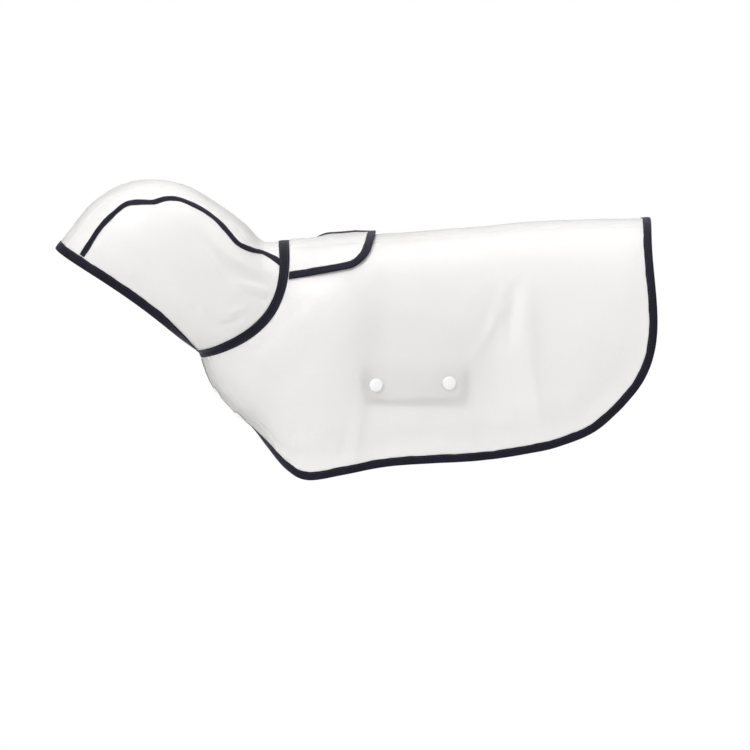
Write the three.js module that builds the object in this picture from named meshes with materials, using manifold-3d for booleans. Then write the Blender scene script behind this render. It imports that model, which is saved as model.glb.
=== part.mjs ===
// A dog raincoat of frosted film with bound edges, worn form, in millimetres.
// X runs from the hood's peak (-) to the tail (+), the wearer's left side is -Y, Z is up.
// The origin lies on the wearer's back, in the film's wall at the ridge.
import * as THREE from 'three';
import Module from 'manifold-3d';

const wasm = await Module();
wasm.setup();

// Cloth and fastener sizes
const FILM = 1.0;
const TAPE = 1.0;
const SEAM_GAP = 0.3;
const EDGE_TAPE_WIDTH = 6.7;
const NECK_TAPE_HALF = 4.5;
const HOOD_TAPE_HALF = 3.0;
const SLIT_TAPE_WIDTH = 2.8;
const LAP = 4.6;
const SHOULDER = 0.25;
const SNAP_RADIUS = 6.2;
const SOCKET_RADIUS = 5.0;
const CAP_HEIGHT = 1.7;
const SOCKET_PLAY = 0.5;
const STRAP_SPACE = 4.2;

// Mesh density
const BODY_COLUMNS = 44;
const HOOD_ROWS = 18;
const SIDE_COLUMNS = 12;
const STRIP_COLUMNS = 10;
const SNAP_SIDES = 16;

const table = (names, rows) => rows.map((row) => Object.fromEntries(names.map((n, i) => [n, row[i]])));
const evenly = (count, from, to) =>
  Array.from({ length: count + 1 }, (_, i) => from + (i / count) * (to - from));

// Body ribs from the neck seam (first row) to the rear edge (last row).
// Each runs from the ridge to the left edge and to the right edge; turn is the angle it goes round.
// The bows push the rib out of its straight line in side view, above and below its middle.
const ribs = table(
  [
    'ridgeX', 'ridgeZ', 'bowUpper', 'bowLower', 'half',
    'leftX', 'leftZ', 'leftTurn', 'rightX', 'rightZ', 'rightTurn',
  ],
  [
    [-148, -11, 41, 41, 53, -228, -116, 183, -228, -116, 199],
    [-133, -10, 31, 32, 60, -217, -146, 184, -217, -146, 202],
    [-114, -9, 22, 24, 68, -197, -171, 184, -197, -171, 204],
    [-93, -8, 15, 16, 75, -179, -186, 178, -178, -187, 205],
    [-74, -6, 9, 10, 80, -163, -202, 160, -161, -205, 202],
    [-55, -4, 5, 6, 84, -143, -217, 140, -143, -217, 190],
    [-36, -3, 2, 3, 86, -124, -225, 122, -122, -223, 166],
    [-12, -1, 0, 1, 88, -90, -220, 106, -89, -221, 133],
    [14, 1, 0, 0, 89, -48, -213, 95, -48, -213, 104],
    [42, 3, 0, 0, 90, -7, -209, 88, -7, -209, 88],
    [70, 6, 0, 0, 90, 34, -207, 84, 34, -207, 84],
    [99, 8, 0, 0, 90, 73, -203, 81, 73, -203, 81],
    [127, 9, 0, 1, 90, 108, -195, 79, 108, -195, 79],
    [153, 10, 1, 6, 88, 137, -182, 78, 137, -182, 78],
    [177, 10, 1, 18, 86, 159, -164, 78, 159, -164, 78],
    [197, 11, 0, 35, 84, 173, -150, 80, 173, -150, 80],
  ],
);

// Hood sections from the face edge to the neck seam, fanned about the throat.
// nearSeam and farSeam are the angles of the two seams beside the centre strip.
const hoodSections = table(
  ['ridgeX', 'ridgeZ', 'bow', 'half', 'nearSeam', 'farSeam'],
  [
    [-363, -17, 5, 55, 50, 50],
    [-350, 0, 5, 57, 47, 47],
    [-329, 25, 5, 59, 44, 44],
    [-302, 42, 5, 61, 41, 42],
    [-274, 47, 6, 62, 42, 40],
    [-242, 42, 8, 62, 36, 38],
    [-210, 24, 12, 60, 37, 34],
    [-186, 6, 18, 58, 44, 29],
    [-168, -11, 29, 55, 31, 24],
    [-148, -11, 41, 53, 42, 23],
  ],
);

// The hood's sections end side by side at the throat, from the face edge to the neck seam
const THROAT_FACE = { x: -234, z: -110 };
const THROAT_NECK = { x: ribs[0].leftX, z: ribs[0].leftZ };

// The largest drape folds, as lines in side view; side 1 is the wearer's left.
// height is positive for a ridge and negative for a trough.
// fade is the share of its length over which its low end dies away.
const foldNames = ['side', 'topX', 'topZ', 'midX', 'midZ', 'lowX', 'lowZ', 'width', 'height', 'fade'];
const bodyFolds = table(foldNames, [
  [1, 72, -32, 80, -115, 99, -215, 11, 4, 0],
  [1, 66, -38, 45, -105, 56, -185, 17, -4, 0.3],
  [1, -45, -60, -58, -130, -66, -225, 20, -3, 0],
  [-1, 58, -36, 70, -118, 82, -215, 12, 4, 0],
  [-1, 92, -40, 98, -110, 110, -190, 18, -4, 0.3],
  [-1, -40, -55, -60, -130, -75, -225, 20, -3, 0],
]);
const hoodFolds = table(foldNames, [
  [1, -238, 14, -203, -34, -168, -52, 9, -3, 0.4],
  [1, -240, -50, -220, -78, -196, -94, 9, -2, 0.4],
  [-1, -240, 8, -208, -30, -172, -50, 10, -3, 0.4],
]);

// The belly strap's course across the garment, with the panels taken at STRAP_REACH from the middle.
const STRAP_REACH = 84;
const STRAP_MIDDLE_X = -25.5;
const STRAP_HALF = 50;
const STRAP_CORNER = 15;
const STRAP_STEP = 10;
const strapCourse = table(['y', 'z'], [
  [-84, -159], [-84, -149], [-84, -139], [-83.6, -131], [-80.5, -126], [-76, -126], [-73, -132],
  [-66, -147], [-46, -161], [-20, -168], [8, -169], [36, -164], [60, -152], [76, -138], [83.5, -124],
  [85.2, -112], [85.2, -100],
]);

// Leash flap and slit, on the body's ribs
const FLAP_LAST_RIB = 4.6;
const FLAP_NEAR_ANGLE = 51;
const FLAP_NEAR_TAPER = 2.4;
const FLAP_FAR_ANGLE = -25;
const FLAP_LENGTH = 82;
const FLAP_CORNER = 18;
const FLAP_SEAT = 1.9;
const FLAP_RISE = 2.3;
const FLAP_FAR_LIFT = 7;
const SLIT = { rib: 1.82, angle: 19, length: 32, width: 11 };

// Snap places: on the left panel in side view for the strap, on the body's ribs for the chest
const strapSnaps = table(['x', 'z'], [[-61, -140], [6, -138]]);
const chestSnaps = table(['rib', 'angle'], [[1.3, 169], [2.35, 168]]);

const REAR = ribs.length - 1;
const NECK = hoodSections.length - 1;
const radians = THREE.MathUtils.degToRad;
const clamp = THREE.MathUtils.clamp;
const ease = (value) => THREE.MathUtils.smoothstep(value, 0, 1);
const vector = (x, y, z) => new THREE.Vector3(x, y, z);
const along = (point, direction, distance) => point.clone().addScaledVector(direction, distance);

// Catmull-Rom reading of a table at a real-valued row
function readTable(rows, at) {
  const first = clamp(Math.floor(at), 0, rows.length - 2);
  const t = at - first;
  const picks = [first - 1, first, first + 1, first + 2].map((i) => rows[clamp(i, 0, rows.length - 1)]);
  const blend = (a, b, c, d) =>
    0.5 * (2 * b + (c - a) * t + (2 * a - 5 * b + 4 * c - d) * t * t + (3 * b - a - 3 * c + d) * t ** 3);
  const names = Object.keys(rows[0]);
  return Object.fromEntries(names.map((name) => [name, blend(...picks.map((row) => row[name]))]));
}

// How far a rib stands from the middle plane at an angle, as a share of its half width
const spread = (angle) => Math.sin(angle) * (1 + SHOULDER * Math.cos(angle) ** 2);

// A point of a rib in side view, at share q of its way from the ridge to its edge
function ribCurve(rib, edge, q) {
  const chord = new THREE.Vector2(edge.x - rib.ridgeX, edge.z - rib.ridgeZ);
  const out = new THREE.Vector2(-chord.y, chord.x).normalize();
  const ridge = new THREE.Vector2(rib.ridgeX, rib.ridgeZ);
  const upper = ridge.clone().addScaledVector(chord, 1 / 3).addScaledVector(out, rib.bowUpper);
  const lower = ridge.clone().addScaledVector(chord, 2 / 3).addScaledVector(out, rib.bowLower);
  const m = 1 - q;
  return ridge.multiplyScalar(m ** 3)
    .addScaledVector(upper, 3 * m * m * q)
    .addScaledVector(lower, 3 * m * q * q)
    .addScaledVector(new THREE.Vector2(edge.x, edge.z), q ** 3);
}

// A point at an angle round a rib: positive angles go down the left side, negative down the right
function ribPoint(rib, degrees) {
  const edge = degrees >= 0
    ? { x: rib.leftX, z: rib.leftZ, turn: rib.leftTurn }
    : { x: rib.rightX, z: rib.rightZ, turn: rib.rightTurn };
  const angle = radians(Math.abs(degrees));
  const share = (1 - Math.cos(angle)) / (1 - Math.cos(radians(Math.min(edge.turn, 180))));
  const flat = ribCurve(rib, edge, share);
  return vector(flat.x, -Math.sign(degrees) * rib.half * spread(angle), flat.y);
}

// The right front passes under the left one, so it closes in towards the middle of its section
const LAP_START = 98;
const LAP_LENGTH = 72;
function lapped(point, degrees, middle) {
  if (degrees >= 0) return point;
  const inward = vector(middle.x, 0, middle.y).sub(point).normalize();
  return along(point, inward, LAP * ease((-degrees - LAP_START) / LAP_LENGTH));
}

function bodyBase(at, degrees) {
  const rib = readTable(ribs, at);
  return lapped(ribPoint(rib, degrees), degrees, ribCurve(rib, { x: rib.rightX, z: rib.rightZ }, 0.5));
}

// Below the cheek the hood is a flat band between its face edge and the neck seam
const CHEEK_START = 0.35;
const CHEEK_LENGTH = 0.5;
const CHIN_START = 0.75;
const CHIN_LENGTH = 0.2;
function hoodCurve(at, share) {
  const section = readTable(hoodSections, at);
  const end = {
    x: THREE.MathUtils.lerp(THROAT_FACE.x, THROAT_NECK.x, at / NECK),
    z: THREE.MathUtils.lerp(THROAT_FACE.z, THROAT_NECK.z, at / NECK),
  };
  return ribCurve({ ...section, bowUpper: section.bow, bowLower: section.bow }, end, share);
}
function hoodBase(at, degrees) {
  const angle = radians(Math.abs(degrees));
  const share = (1 - Math.cos(angle)) / 2;
  const band = hoodCurve(0, share).lerp(hoodCurve(NECK, share), at / NECK);
  const flat = hoodCurve(at, share).lerp(band, ease((share - CHEEK_START) / CHEEK_LENGTH));
  const half = readTable(hoodSections, at).half;
  const point = vector(flat.x, -Math.sign(degrees) * half * spread(angle), flat.y);
  const chin = ease((share - CHIN_START) / CHIN_LENGTH);
  return lapped(point, degrees, hoodCurve(at, 0.5).lerp(hoodCurve(NECK, 0.5), chin));
}

// Height of the folds at a point, from its distance to each fold's line in side view
function foldHeight(folds, point) {
  const side = point.y <= 0 ? 1 : -1;
  const place = new THREE.Vector2(point.x, point.z);
  let height = 0;
  for (const fold of folds.filter((f) => f.side === side)) {
    const marks = [[fold.topX, fold.topZ], [fold.midX, fold.midZ], [fold.lowX, fold.lowZ]]
      .map(([x, z]) => new THREE.Vector2(x, z));
    let near = { gap: Infinity, share: 0 };
    for (const [i, start] of marks.slice(0, 2).entries()) {
      const run = marks[i + 1].clone().sub(start);
      const t = clamp(place.clone().sub(start).dot(run) / run.lengthSq(), 0, 1);
      const gap = place.distanceTo(start.clone().addScaledVector(run, t));
      if (gap < near.gap) near = { gap, share: (i + t) / 2 };
    }
    const fade = fold.fade > 0 ? ease((1 - near.share) / fold.fade) : 1;
    height += fold.height * Math.exp(-((near.gap / fold.width) ** 2)) * ease(near.share * 3) * fade;
  }
  return height;
}

const STEP_ROW = 0.03;
const STEP_ANGLE = 0.6;
function normalOf(surface, at, degrees) {
  const row = surface(at + STEP_ROW, degrees).sub(surface(at - STEP_ROW, degrees));
  const round = surface(at, degrees + STEP_ANGLE).sub(surface(at, degrees - STEP_ANGLE));
  return round.cross(row).normalize();
}

// The rear corner's edges run into one smooth curve, so its normal is read a little inside
function bodyNormal(surface, at, degrees) {
  const inside = Math.min(at, REAR - 0.4);
  const rib = readTable(ribs, inside);
  const angle = at > REAR - 1 ? clamp(degrees, 6 - rib.rightTurn, rib.leftTurn - 6) : degrees;
  return normalOf(surface, inside, angle);
}

function folded(base, normal, folds) {
  return (at, degrees) => {
    const point = base(at, degrees);
    return along(point, normal(base, at, degrees), foldHeight(folds, point));
  };
}

const bodyPoint = folded(bodyBase, bodyNormal, bodyFolds);
const hoodPoint = folded(hoodBase, normalOf, hoodFolds);
const body = (at, degrees) => ({ point: bodyPoint(at, degrees), normal: bodyNormal(bodyPoint, at, degrees) });
const hood = (at, degrees) => ({ point: hoodPoint(at, degrees), normal: normalOf(hoodPoint, at, degrees) });

// One straight pace along a surface; near-parallel grid lines give no way to solve it
const FLATTEST = 0.35;
function pace(surface, { at, degrees }, step) {
  const row = surface(at + STEP_ROW, degrees).point.sub(surface(at - STEP_ROW, degrees).point)
    .divideScalar(2 * STEP_ROW);
  const round = surface(at, degrees + STEP_ANGLE).point.sub(surface(at, degrees - STEP_ANGLE).point)
    .divideScalar(2 * STEP_ANGLE);
  if (row.clone().cross(round).length() < FLATTEST * row.length() * round.length()) return null;
  const [a, b, c] = [row.dot(row), row.dot(round), round.dot(round)];
  const [e, f] = [row.dot(step), round.dot(step)];
  const determinant = a * c - b * b;
  return { at: at + (e * c - f * b) / determinant, degrees: degrees + (a * f - b * e) / determinant };
}

// The place on a surface that lies a distance away from (at, degrees) in a direction along it
const PACES = 3;
function walk(surface, at, degrees, direction, distance) {
  let place = { at, degrees };
  for (let i = 0; i < PACES; i += 1) {
    const { normal } = surface(place.at, place.degrees);
    const flat = along(direction, normal, -direction.dot(normal)).normalize();
    place = pace(surface, place, flat.multiplyScalar(distance / PACES));
    if (!place) {
      const here = surface(at, degrees);
      return { point: along(here.point, direction, distance), normal: here.normal };
    }
  }
  return surface(place.at, place.degrees);
}

// As walk, but along the grid line that leads into the cloth, where one does so squarely enough
const SQUARE_ENOUGH = 0.5;
function slide(surface, { at, degrees, into, width, line }) {
  const byRow = line === 'row';
  const read = (offset) => (byRow ? surface(at + offset, degrees) : surface(at, degrees + offset)).point;
  const step = byRow ? STEP_ROW : STEP_ANGLE;
  const ahead = read(step).sub(read(-step)).normalize();
  const squareness = ahead.dot(into);
  if (Math.abs(squareness) < SQUARE_ENOUGH) return walk(surface, at, degrees, into, width);
  let travelled = 0;
  for (let i = 0; i < PACES; i += 1) {
    const rate = read(travelled + step).distanceTo(read(travelled - step)) / (2 * step);
    travelled += width / PACES / squareness / rate;
  }
  return byRow ? surface(at + travelled, degrees) : surface(at, degrees + travelled);
}

// A closed mesh, turned so that its faces point out
function closedGeometry(points, faces) {
  const volume = faces.reduce((sum, [a, b, c]) => sum + points[a].dot(points[b].clone().cross(points[c])), 0);
  const turned = volume < 0 ? faces.map(([a, b, c]) => [a, c, b]) : faces;
  const geometry = new THREE.BufferGeometry();
  geometry.setAttribute('position', new THREE.Float32BufferAttribute(points.flatMap((p) => p.toArray()), 3));
  geometry.setIndex(turned.flat());
  return geometry;
}

// A wall of the film's thickness on a surface patch, read at marks along and across it
function wallGeometry(patch, rowMarks, columnMarks) {
  const places = rowMarks.flatMap((row) => columnMarks.map((column) => patch(row, column)));
  const rows = rowMarks.length - 1;
  const columns = columnMarks.length - 1;
  const outer = places.map((p) => along(p.point, p.normal, FILM / 2));
  const inner = places.map((p) => along(p.point, p.normal, -FILM / 2));
  const at = (i, j) => i * (columns + 1) + j;
  const under = places.length;
  const faces = [];
  const quad = (a, b, c, d) => faces.push([a, b, c], [a, c, d]);
  for (let i = 0; i < rows; i += 1) {
    for (let j = 0; j < columns; j += 1) {
      const ring = [at(i, j), at(i + 1, j), at(i + 1, j + 1), at(i, j + 1)];
      quad(...ring);
      quad(...ring.reverse().map((v) => v + under));
    }
  }
  const rim = [];
  for (let i = 0; i < rows; i += 1) rim.push(at(i, 0));
  for (let j = 0; j < columns; j += 1) rim.push(at(rows, j));
  for (let i = rows; i > 0; i -= 1) rim.push(at(i, columns));
  for (let j = columns; j > 0; j -= 1) rim.push(at(0, j));
  rim.forEach((a, n) => {
    const b = rim[(n + 1) % rim.length];
    quad(b, a, a + under, b + under);
  });
  return closedGeometry([...outer, ...inner], faces);
}

// A tube through rings of points; capQuads close the ends unless it is a loop
function ringGeometry(rings, capQuads, loop = false) {
  const sides = rings[0].length;
  const faces = [];
  const quad = (a, b, c, d) => faces.push([a, b, c], [a, c, d]);
  const last = loop ? rings.length : rings.length - 1;
  for (let i = 0; i < last; i += 1) {
    const [one, two] = [i * sides, ((i + 1) % rings.length) * sides];
    for (let j = 0; j < sides; j += 1) {
      const k = (j + 1) % sides;
      quad(one + j, one + k, two + k, two + j);
    }
  }
  if (!loop) {
    const end = (rings.length - 1) * sides;
    capQuads.forEach(([a, b, c, d]) => quad(d, c, b, a));
    capQuads.forEach(([a, b, c, d]) => quad(a + end, b + end, c + end, d + end));
  }
  return closedGeometry(rings.flat(), faces);
}

// Binding folded over an edge: stations give the edge place and the direction into the cloth
const INNER = FILM / 2 + SEAM_GAP;
const OUTER = INNER + TAPE;
const ROOT_EXTRA = 0.55;
const CHANNEL_CAPS = [[7, 0, 1, 2], [7, 2, 3, 6], [6, 3, 4, 5]];
function channelSection(lip, root) {
  return [
    root(OUTER), root(INNER), lip(SEAM_GAP, INNER), lip(SEAM_GAP, -INNER),
    root(-INNER), root(-OUTER), lip(SEAM_GAP + TAPE, -OUTER), lip(SEAM_GAP + TAPE, OUTER),
  ];
}
function channelRing(surface, station) {
  const { at, degrees, into } = station;
  const edge = surface(at, degrees);
  const deep = slide(surface, station);
  const lip = (distance, lift) => along(along(edge.point, into, -distance), edge.normal, lift);
  return channelSection(lip, (lift) => along(deep.point, deep.normal, lift + Math.sign(lift) * ROOT_EXTRA));
}

// Adds the direction into the cloth to each station of an edge path
function withInward(surface, path, turn, loop = false) {
  return path.map((station, i) => {
    const count = path.length;
    const before = path[loop ? (i + count - 1) % count : Math.max(i - 1, 0)];
    const after = path[loop ? (i + 1) % count : Math.min(i + 1, count - 1)];
    const run = surface(after.at, after.degrees).point.sub(surface(before.at, before.degrees).point);
    const { normal } = surface(station.at, station.degrees);
    return { ...station, into: normal.clone().cross(run).normalize().multiplyScalar(turn) };
  });
}

function channelGeometry(surface, path, turn, loop = false) {
  const rings = withInward(surface, path, turn, loop).map((station) => channelRing(surface, station));
  return ringGeometry(rings, CHANNEL_CAPS, loop);
}

// Flat tape over a seam: each station gives the places beside, on and beyond it
const BAND_CAPS = [[0, 1, 4, 5], [1, 2, 3, 4]];
function bandGeometry(stations) {
  const rings = stations.map(([near, seam, far]) => [
    along(near.point, near.normal, INNER), along(seam.point, seam.normal, INNER),
    along(far.point, far.normal, INNER), along(far.point, far.normal, OUTER),
    along(seam.point, seam.normal, OUTER), along(near.point, near.normal, OUTER),
  ]);
  return ringGeometry(rings, BAND_CAPS);
}

// Body panel: ribs by angles, with the neck edge just clear of the hood
const leftTurn = (at) => readTable(ribs, at).leftTurn;
const rightTurn = (at) => readTable(ribs, at).rightTurn;
const angleAt = (at, share) => THREE.MathUtils.lerp(-rightTurn(at), leftTurn(at), share);
const bodyColumns = evenly(BODY_COLUMNS, 0, 1);

// The rows lie closer under the chest, where the hem turns into the lapped fronts
const bodyRows = [...evenly(5, 0, 2.5), ...evenly(16, 3, 7), ...evenly(15, 7.5, 15)];

// The seam between hood and body: both walls end there on one shared normal
function neckSeam(degrees) {
  const point = bodyPoint(0, degrees);
  const run = bodyPoint(0, degrees + 1).sub(bodyPoint(0, degrees - 1)).normalize();
  const normal = body(0, degrees).normal.add(hood(NECK, degrees).normal).normalize();
  return { point, normal, run, back: normal.clone().cross(run).normalize() };
}

function bodyPatch(at, columnShare) {
  const degrees = angleAt(at, columnShare);
  if (at > 0) return body(at, degrees);
  const seam = neckSeam(degrees);
  return { point: along(seam.point, seam.back, SEAM_GAP), normal: seam.normal };
}

// Slit outline on the body: a long slot with round ends
function slitOutline() {
  const centre = body(SLIT.rib, SLIT.angle);
  const lengthwise = bodyPoint(SLIT.rib + STEP_ROW, SLIT.angle).sub(centre.point);
  const across = centre.normal.clone().cross(lengthwise).normalize();
  const ahead = across.clone().cross(centre.normal).normalize();
  const radius = SLIT.width / 2;
  const straight = (SLIT.length - SLIT.width) / 2;
  const corners = [];
  const END_STEPS = 5;
  for (const end of [1, -1]) {
    for (let i = 0; i <= END_STEPS; i += 1) {
      const turn = Math.PI * (i / END_STEPS - 0.5) + (end > 0 ? 0 : Math.PI);
      corners.push(new THREE.Vector2(end * straight + radius * Math.cos(turn), radius * Math.sin(turn)));
    }
  }
  const local = (corner) => along(along(centre.point, ahead, corner.x), across, corner.y);
  return { centre, corners, ahead, across, local };
}

function toManifold(geometry) {
  const vertProperties = Float32Array.from(geometry.attributes.position.array);
  const triVerts = Uint32Array.from(geometry.index.array);
  return new wasm.Manifold(new wasm.Mesh({ numProp: 3, vertProperties, triVerts }));
}

function fromManifold(solid) {
  const mesh = solid.getMesh();
  const geometry = new THREE.BufferGeometry();
  geometry.setAttribute('position', new THREE.Float32BufferAttribute(mesh.vertProperties, 3));
  geometry.setIndex(Array.from(mesh.triVerts));
  return geometry;
}

function bodyGeometry() {
  const wall = wallGeometry(bodyPatch, bodyRows, bodyColumns);
  const { centre, corners, local } = slitOutline();
  const CUTTER_REACH = 12;
  const rings = [-CUTTER_REACH, CUTTER_REACH]
    .map((lift) => corners.map((corner) => along(local(corner), centre.normal, lift)));
  const count = corners.length;
  const faces = [];
  for (let i = 0; i < count; i += 1) {
    const j = (i + 1) % count;
    faces.push([i, j, count + j], [i, count + j, count + i]);
    if (i > 0 && j > 0) faces.push([0, j, i], [count, count + i, count + j]);
  }
  return fromManifold(toManifold(wall).subtract(toManifold(closedGeometry(rings.flat(), faces))));
}

// The slit's binding is a closed channel round the slot, its rings laid on the body's points
const SLIT_EXTRA = 0.6;
function slitBindingGeometry() {
  const { centre, corners, ahead, across, local } = slitOutline();
  const drop = (place) => {
    const found = nearestOnBody(place, SLIT.rib, SLIT.angle);
    return body(found.at, found.degrees);
  };
  const straight = (SLIT.length - SLIT.width) / 2;
  const rings = corners.map((corner) => {
    const hub = clamp(corner.x, -straight, straight);
    const out = ahead.clone().multiplyScalar(corner.x - hub).addScaledVector(across, corner.y).normalize();
    const edge = drop(local(corner));
    const deep = drop(along(local(corner), out, SLIT_TAPE_WIDTH));
    const lip = (distance, lift) => along(along(edge.point, out, -distance), centre.normal, lift);
    return channelSection(lip, (lift) => along(deep.point, deep.normal, lift + Math.sign(lift) * SLIT_EXTRA));
  });
  return ringGeometry(rings, CHANNEL_CAPS, true);
}

// Nearest body place to a point, by a search that narrows from a first guess
function nearest(measure, at, degrees, reachRow, reachAngle) {
  let best = { at, degrees, miss: measure(at, degrees) };
  let [rowStep, angleStep] = [reachRow, reachAngle];
  const NARROWINGS = 36;
  for (let n = 0; n < NARROWINGS; n += 1) {
    const tries = [[1, 0], [-1, 0], [0, 1], [0, -1]]
      .map(([i, j]) => ({ at: best.at + i * rowStep, degrees: best.degrees + j * angleStep }))
      .map((place) => ({ ...place, miss: measure(place.at, place.degrees) }));
    const better = tries.reduce((a, b) => (b.miss < a.miss ? b : a));
    if (better.miss < best.miss) best = better;
    else [rowStep, angleStep] = [rowStep * 0.5, angleStep * 0.5];
  }
  return best;
}
const nearestOnBody = (place, at, degrees) =>
  nearest((i, j) => bodyPoint(i, j).distanceTo(place), at, degrees, 0.5, 6);

// The body place that lies at (x, z) in side view, on the left (side 1) or right (side -1)
const ROW_AT_ORIGIN = 7;
const ROW_SPACING = 22;
function bodyAt(x, z, side) {
  const first = ROW_AT_ORIGIN + x / ROW_SPACING;
  const miss = (i, j) => {
    const place = bodyBase(i, j);
    return Math.hypot(place.x - x, place.z - z);
  };
  const found = nearest(miss, first, side * 70, 1, 10);
  return body(found.at, found.degrees);
}

// Coat edge binding: left front and hem, rear edge over the ridge, right hem and front
const COAT_EDGE_START = 0.27;
function coatEdgePath() {
  const rows = [COAT_EDGE_START, ...bodyRows.filter((at) => at > COAT_EDGE_START && at < REAR)];
  const left = rows.map((at) => ({ at, degrees: leftTurn(at), line: 'column' }));
  const rear = [...bodyColumns].reverse()
    .map((share) => ({ at: REAR, degrees: angleAt(REAR, share), line: 'row' }));
  const right = [...rows].reverse().map((at) => ({ at, degrees: -rightTurn(at), line: 'column' }));
  return [...left, ...rear, ...right].map((station) => ({ ...station, width: EDGE_TAPE_WIDTH }));
}

// Hood panels: the strip between the seams, and a side on each hand
const HOOD_LEFT_TURN = ribs[0].leftTurn;
const HOOD_RIGHT_TURN = ribs[0].rightTurn;
const seamAngles = (at) => {
  const section = readTable(hoodSections, at);
  return { near: section.nearSeam, far: -section.farSeam };
};

// The angle that lies a distance round the hood from a seam
function besideSeam(at, degrees, distance) {
  const span = hoodPoint(at, degrees + STEP_ANGLE).distanceTo(hoodPoint(at, degrees - STEP_ANGLE));
  return degrees + (distance * 2 * STEP_ANGLE) / span;
}

const hoodRows = evenly(HOOD_ROWS, 0, NECK);
const sideColumns = evenly(SIDE_COLUMNS, 0, 1);
const stripColumns = evenly(STRIP_COLUMNS, 0, 1);
function hoodPatch(startOf, endOf) {
  return (at, columnShare) => {
    const degrees = THREE.MathUtils.lerp(startOf(at), endOf(at), columnShare);
    return at < NECK ? hood(at, degrees) : neckSeam(degrees);
  };
}
const HALF_GAP = SEAM_GAP / 2 + 0.02;
const stripPatch = hoodPatch(
  (at) => besideSeam(at, seamAngles(at).far, HALF_GAP),
  (at) => besideSeam(at, seamAngles(at).near, -HALF_GAP),
);
const leftSidePatch = hoodPatch(
  (at) => besideSeam(at, seamAngles(at).near, HALF_GAP),
  () => HOOD_LEFT_TURN,
);
const rightSidePatch = hoodPatch(
  () => -HOOD_RIGHT_TURN,
  (at) => besideSeam(at, seamAngles(at).far, -HALF_GAP),
);

// Stations round the hood at one section, the same as the panels' columns
function hoodRound(at) {
  const { near, far } = seamAngles(at);
  return [
    ...evenly(SIDE_COLUMNS, HOOD_LEFT_TURN, near),
    ...evenly(STRIP_COLUMNS, near, far).slice(1),
    ...evenly(SIDE_COLUMNS, far, -HOOD_RIGHT_TURN).slice(1),
  ];
}

// Face edge binding, short of the lapped corner, and narrower at the throat,
// where the face edge and the neck seam run together
const FACE_TAPE_RIGHT_END = -165;
const NARROWEST_TAPE = 1.6;
const throatRoom = (degrees) => hoodPoint(0, degrees).distanceTo(hoodPoint(NECK, degrees)) - 3 * SEAM_GAP;
function facePath() {
  return hoodRound(0).filter((degrees) => degrees > FACE_TAPE_RIGHT_END).map((degrees) => {
    const room = throatRoom(degrees) - NECK_TAPE_HALF;
    return { at: 0, degrees, line: 'row', width: clamp(room, NARROWEST_TAPE, EDGE_TAPE_WIDTH) };
  });
}

// Neck tape from front edge to front edge, lifted a little more on the hollow of the nape
const NAPE_EXTRA = 0.3;
function neckStations() {
  return bodyColumns.map((share) => {
    const degrees = angleAt(0, share);
    const seam = neckSeam(degrees);
    const room = throatRoom(degrees) - NARROWEST_TAPE - TAPE;
    const near = walk(hood, NECK, degrees, seam.back.clone().negate(), Math.min(NECK_TAPE_HALF, room));
    const far = walk(body, 0, degrees, seam.back, NECK_TAPE_HALF);
    near.point.addScaledVector(near.normal, NAPE_EXTRA);
    return [near, seam, far];
  });
}

// Tape over a hood seam, between the face binding and the neck tape
const TAPE_END_ROOM = 2.2;
function hoodSeamStations(pick) {
  const span = (at) => hoodPoint(at + STEP_ROW, pick(at)).distanceTo(hoodPoint(at - STEP_ROW, pick(at)));
  const rate = (at) => span(at) / (2 * STEP_ROW);
  const first = (EDGE_TAPE_WIDTH + 4 * SEAM_GAP) / rate(0.2);
  const last = NECK - (NECK_TAPE_HALF + 2 * SEAM_GAP + TAPE_END_ROOM) / rate(NECK - 0.2);
  const between = hoodRows.filter((at) => at > first + 0.1 && at < last - 0.1);
  return [first, ...between, last].map((at) => {
    const degrees = pick(at);
    const [before, after] = [at - STEP_ROW, at + STEP_ROW];
    const run = hoodPoint(after, pick(after)).sub(hoodPoint(before, pick(before)));
    const seam = hood(at, degrees);
    const across = seam.normal.clone().cross(run).normalize();
    const sides = [HOOD_TAPE_HALF, -HOOD_TAPE_HALF].map((offset) => walk(hood, at, degrees, across, offset));
    return [sides[0], seam, sides[1]];
  });
}

// Leash flap: the body's points moved out, sewn in at the neck and sprung up a little on its far side
const FLAP_ROWS = 10;
const FLAP_BINDING_START = 0.12;
const flapRows = evenly(FLAP_ROWS, 0, 1);
const flapAngle = (at, across) =>
  THREE.MathUtils.lerp(FLAP_FAR_ANGLE, FLAP_NEAR_ANGLE - FLAP_NEAR_TAPER * at, (across + 1) / 2);
function flapPoint(share, across) {
  const frontAngle = flapAngle(0, across);
  const rate = bodyBase(0.3, frontAngle).distanceTo(bodyBase(0, frontAngle)) / 0.3;
  const at = THREE.MathUtils.lerp((NECK_TAPE_HALF + 1.5 * SEAM_GAP) / rate, FLAP_LAST_RIB, share);
  const place = body(at, flapAngle(at, across));
  const rise = FLAP_SEAT + FLAP_RISE * ease(share / 0.15) * (1 - 0.35 * Math.abs(across));
  const spring = FLAP_FAR_LIFT * ease((share - 0.1) / 0.4) * clamp((0.1 - across) / 1.1, 0, 1) ** 1.5;
  return along(place.point, place.normal, rise + spring);
}
function flap(share, across) {
  const run = flapPoint(share + 0.01, across).sub(flapPoint(share - 0.01, across));
  const round = flapPoint(share, across + 0.02).sub(flapPoint(share, across - 0.02));
  return { point: flapPoint(share, across), normal: round.cross(run).normalize() };
}
const CORNER_START = 0.55;
function flapEnd(across) {
  const t = clamp((Math.abs(across) - CORNER_START) / (1 - CORNER_START), 0, 1);
  return 1 - (FLAP_CORNER / FLAP_LENGTH) * (1 - Math.sqrt(1 - t * t));
}
const flapColumns = [-1, -0.93, -0.82, -0.68, -0.5, -0.25, 0, 0.25, 0.5, 0.68, 0.82, 0.93, 1];
const flapPatch = (share, across) => flap(share * flapEnd(across), across);
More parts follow.
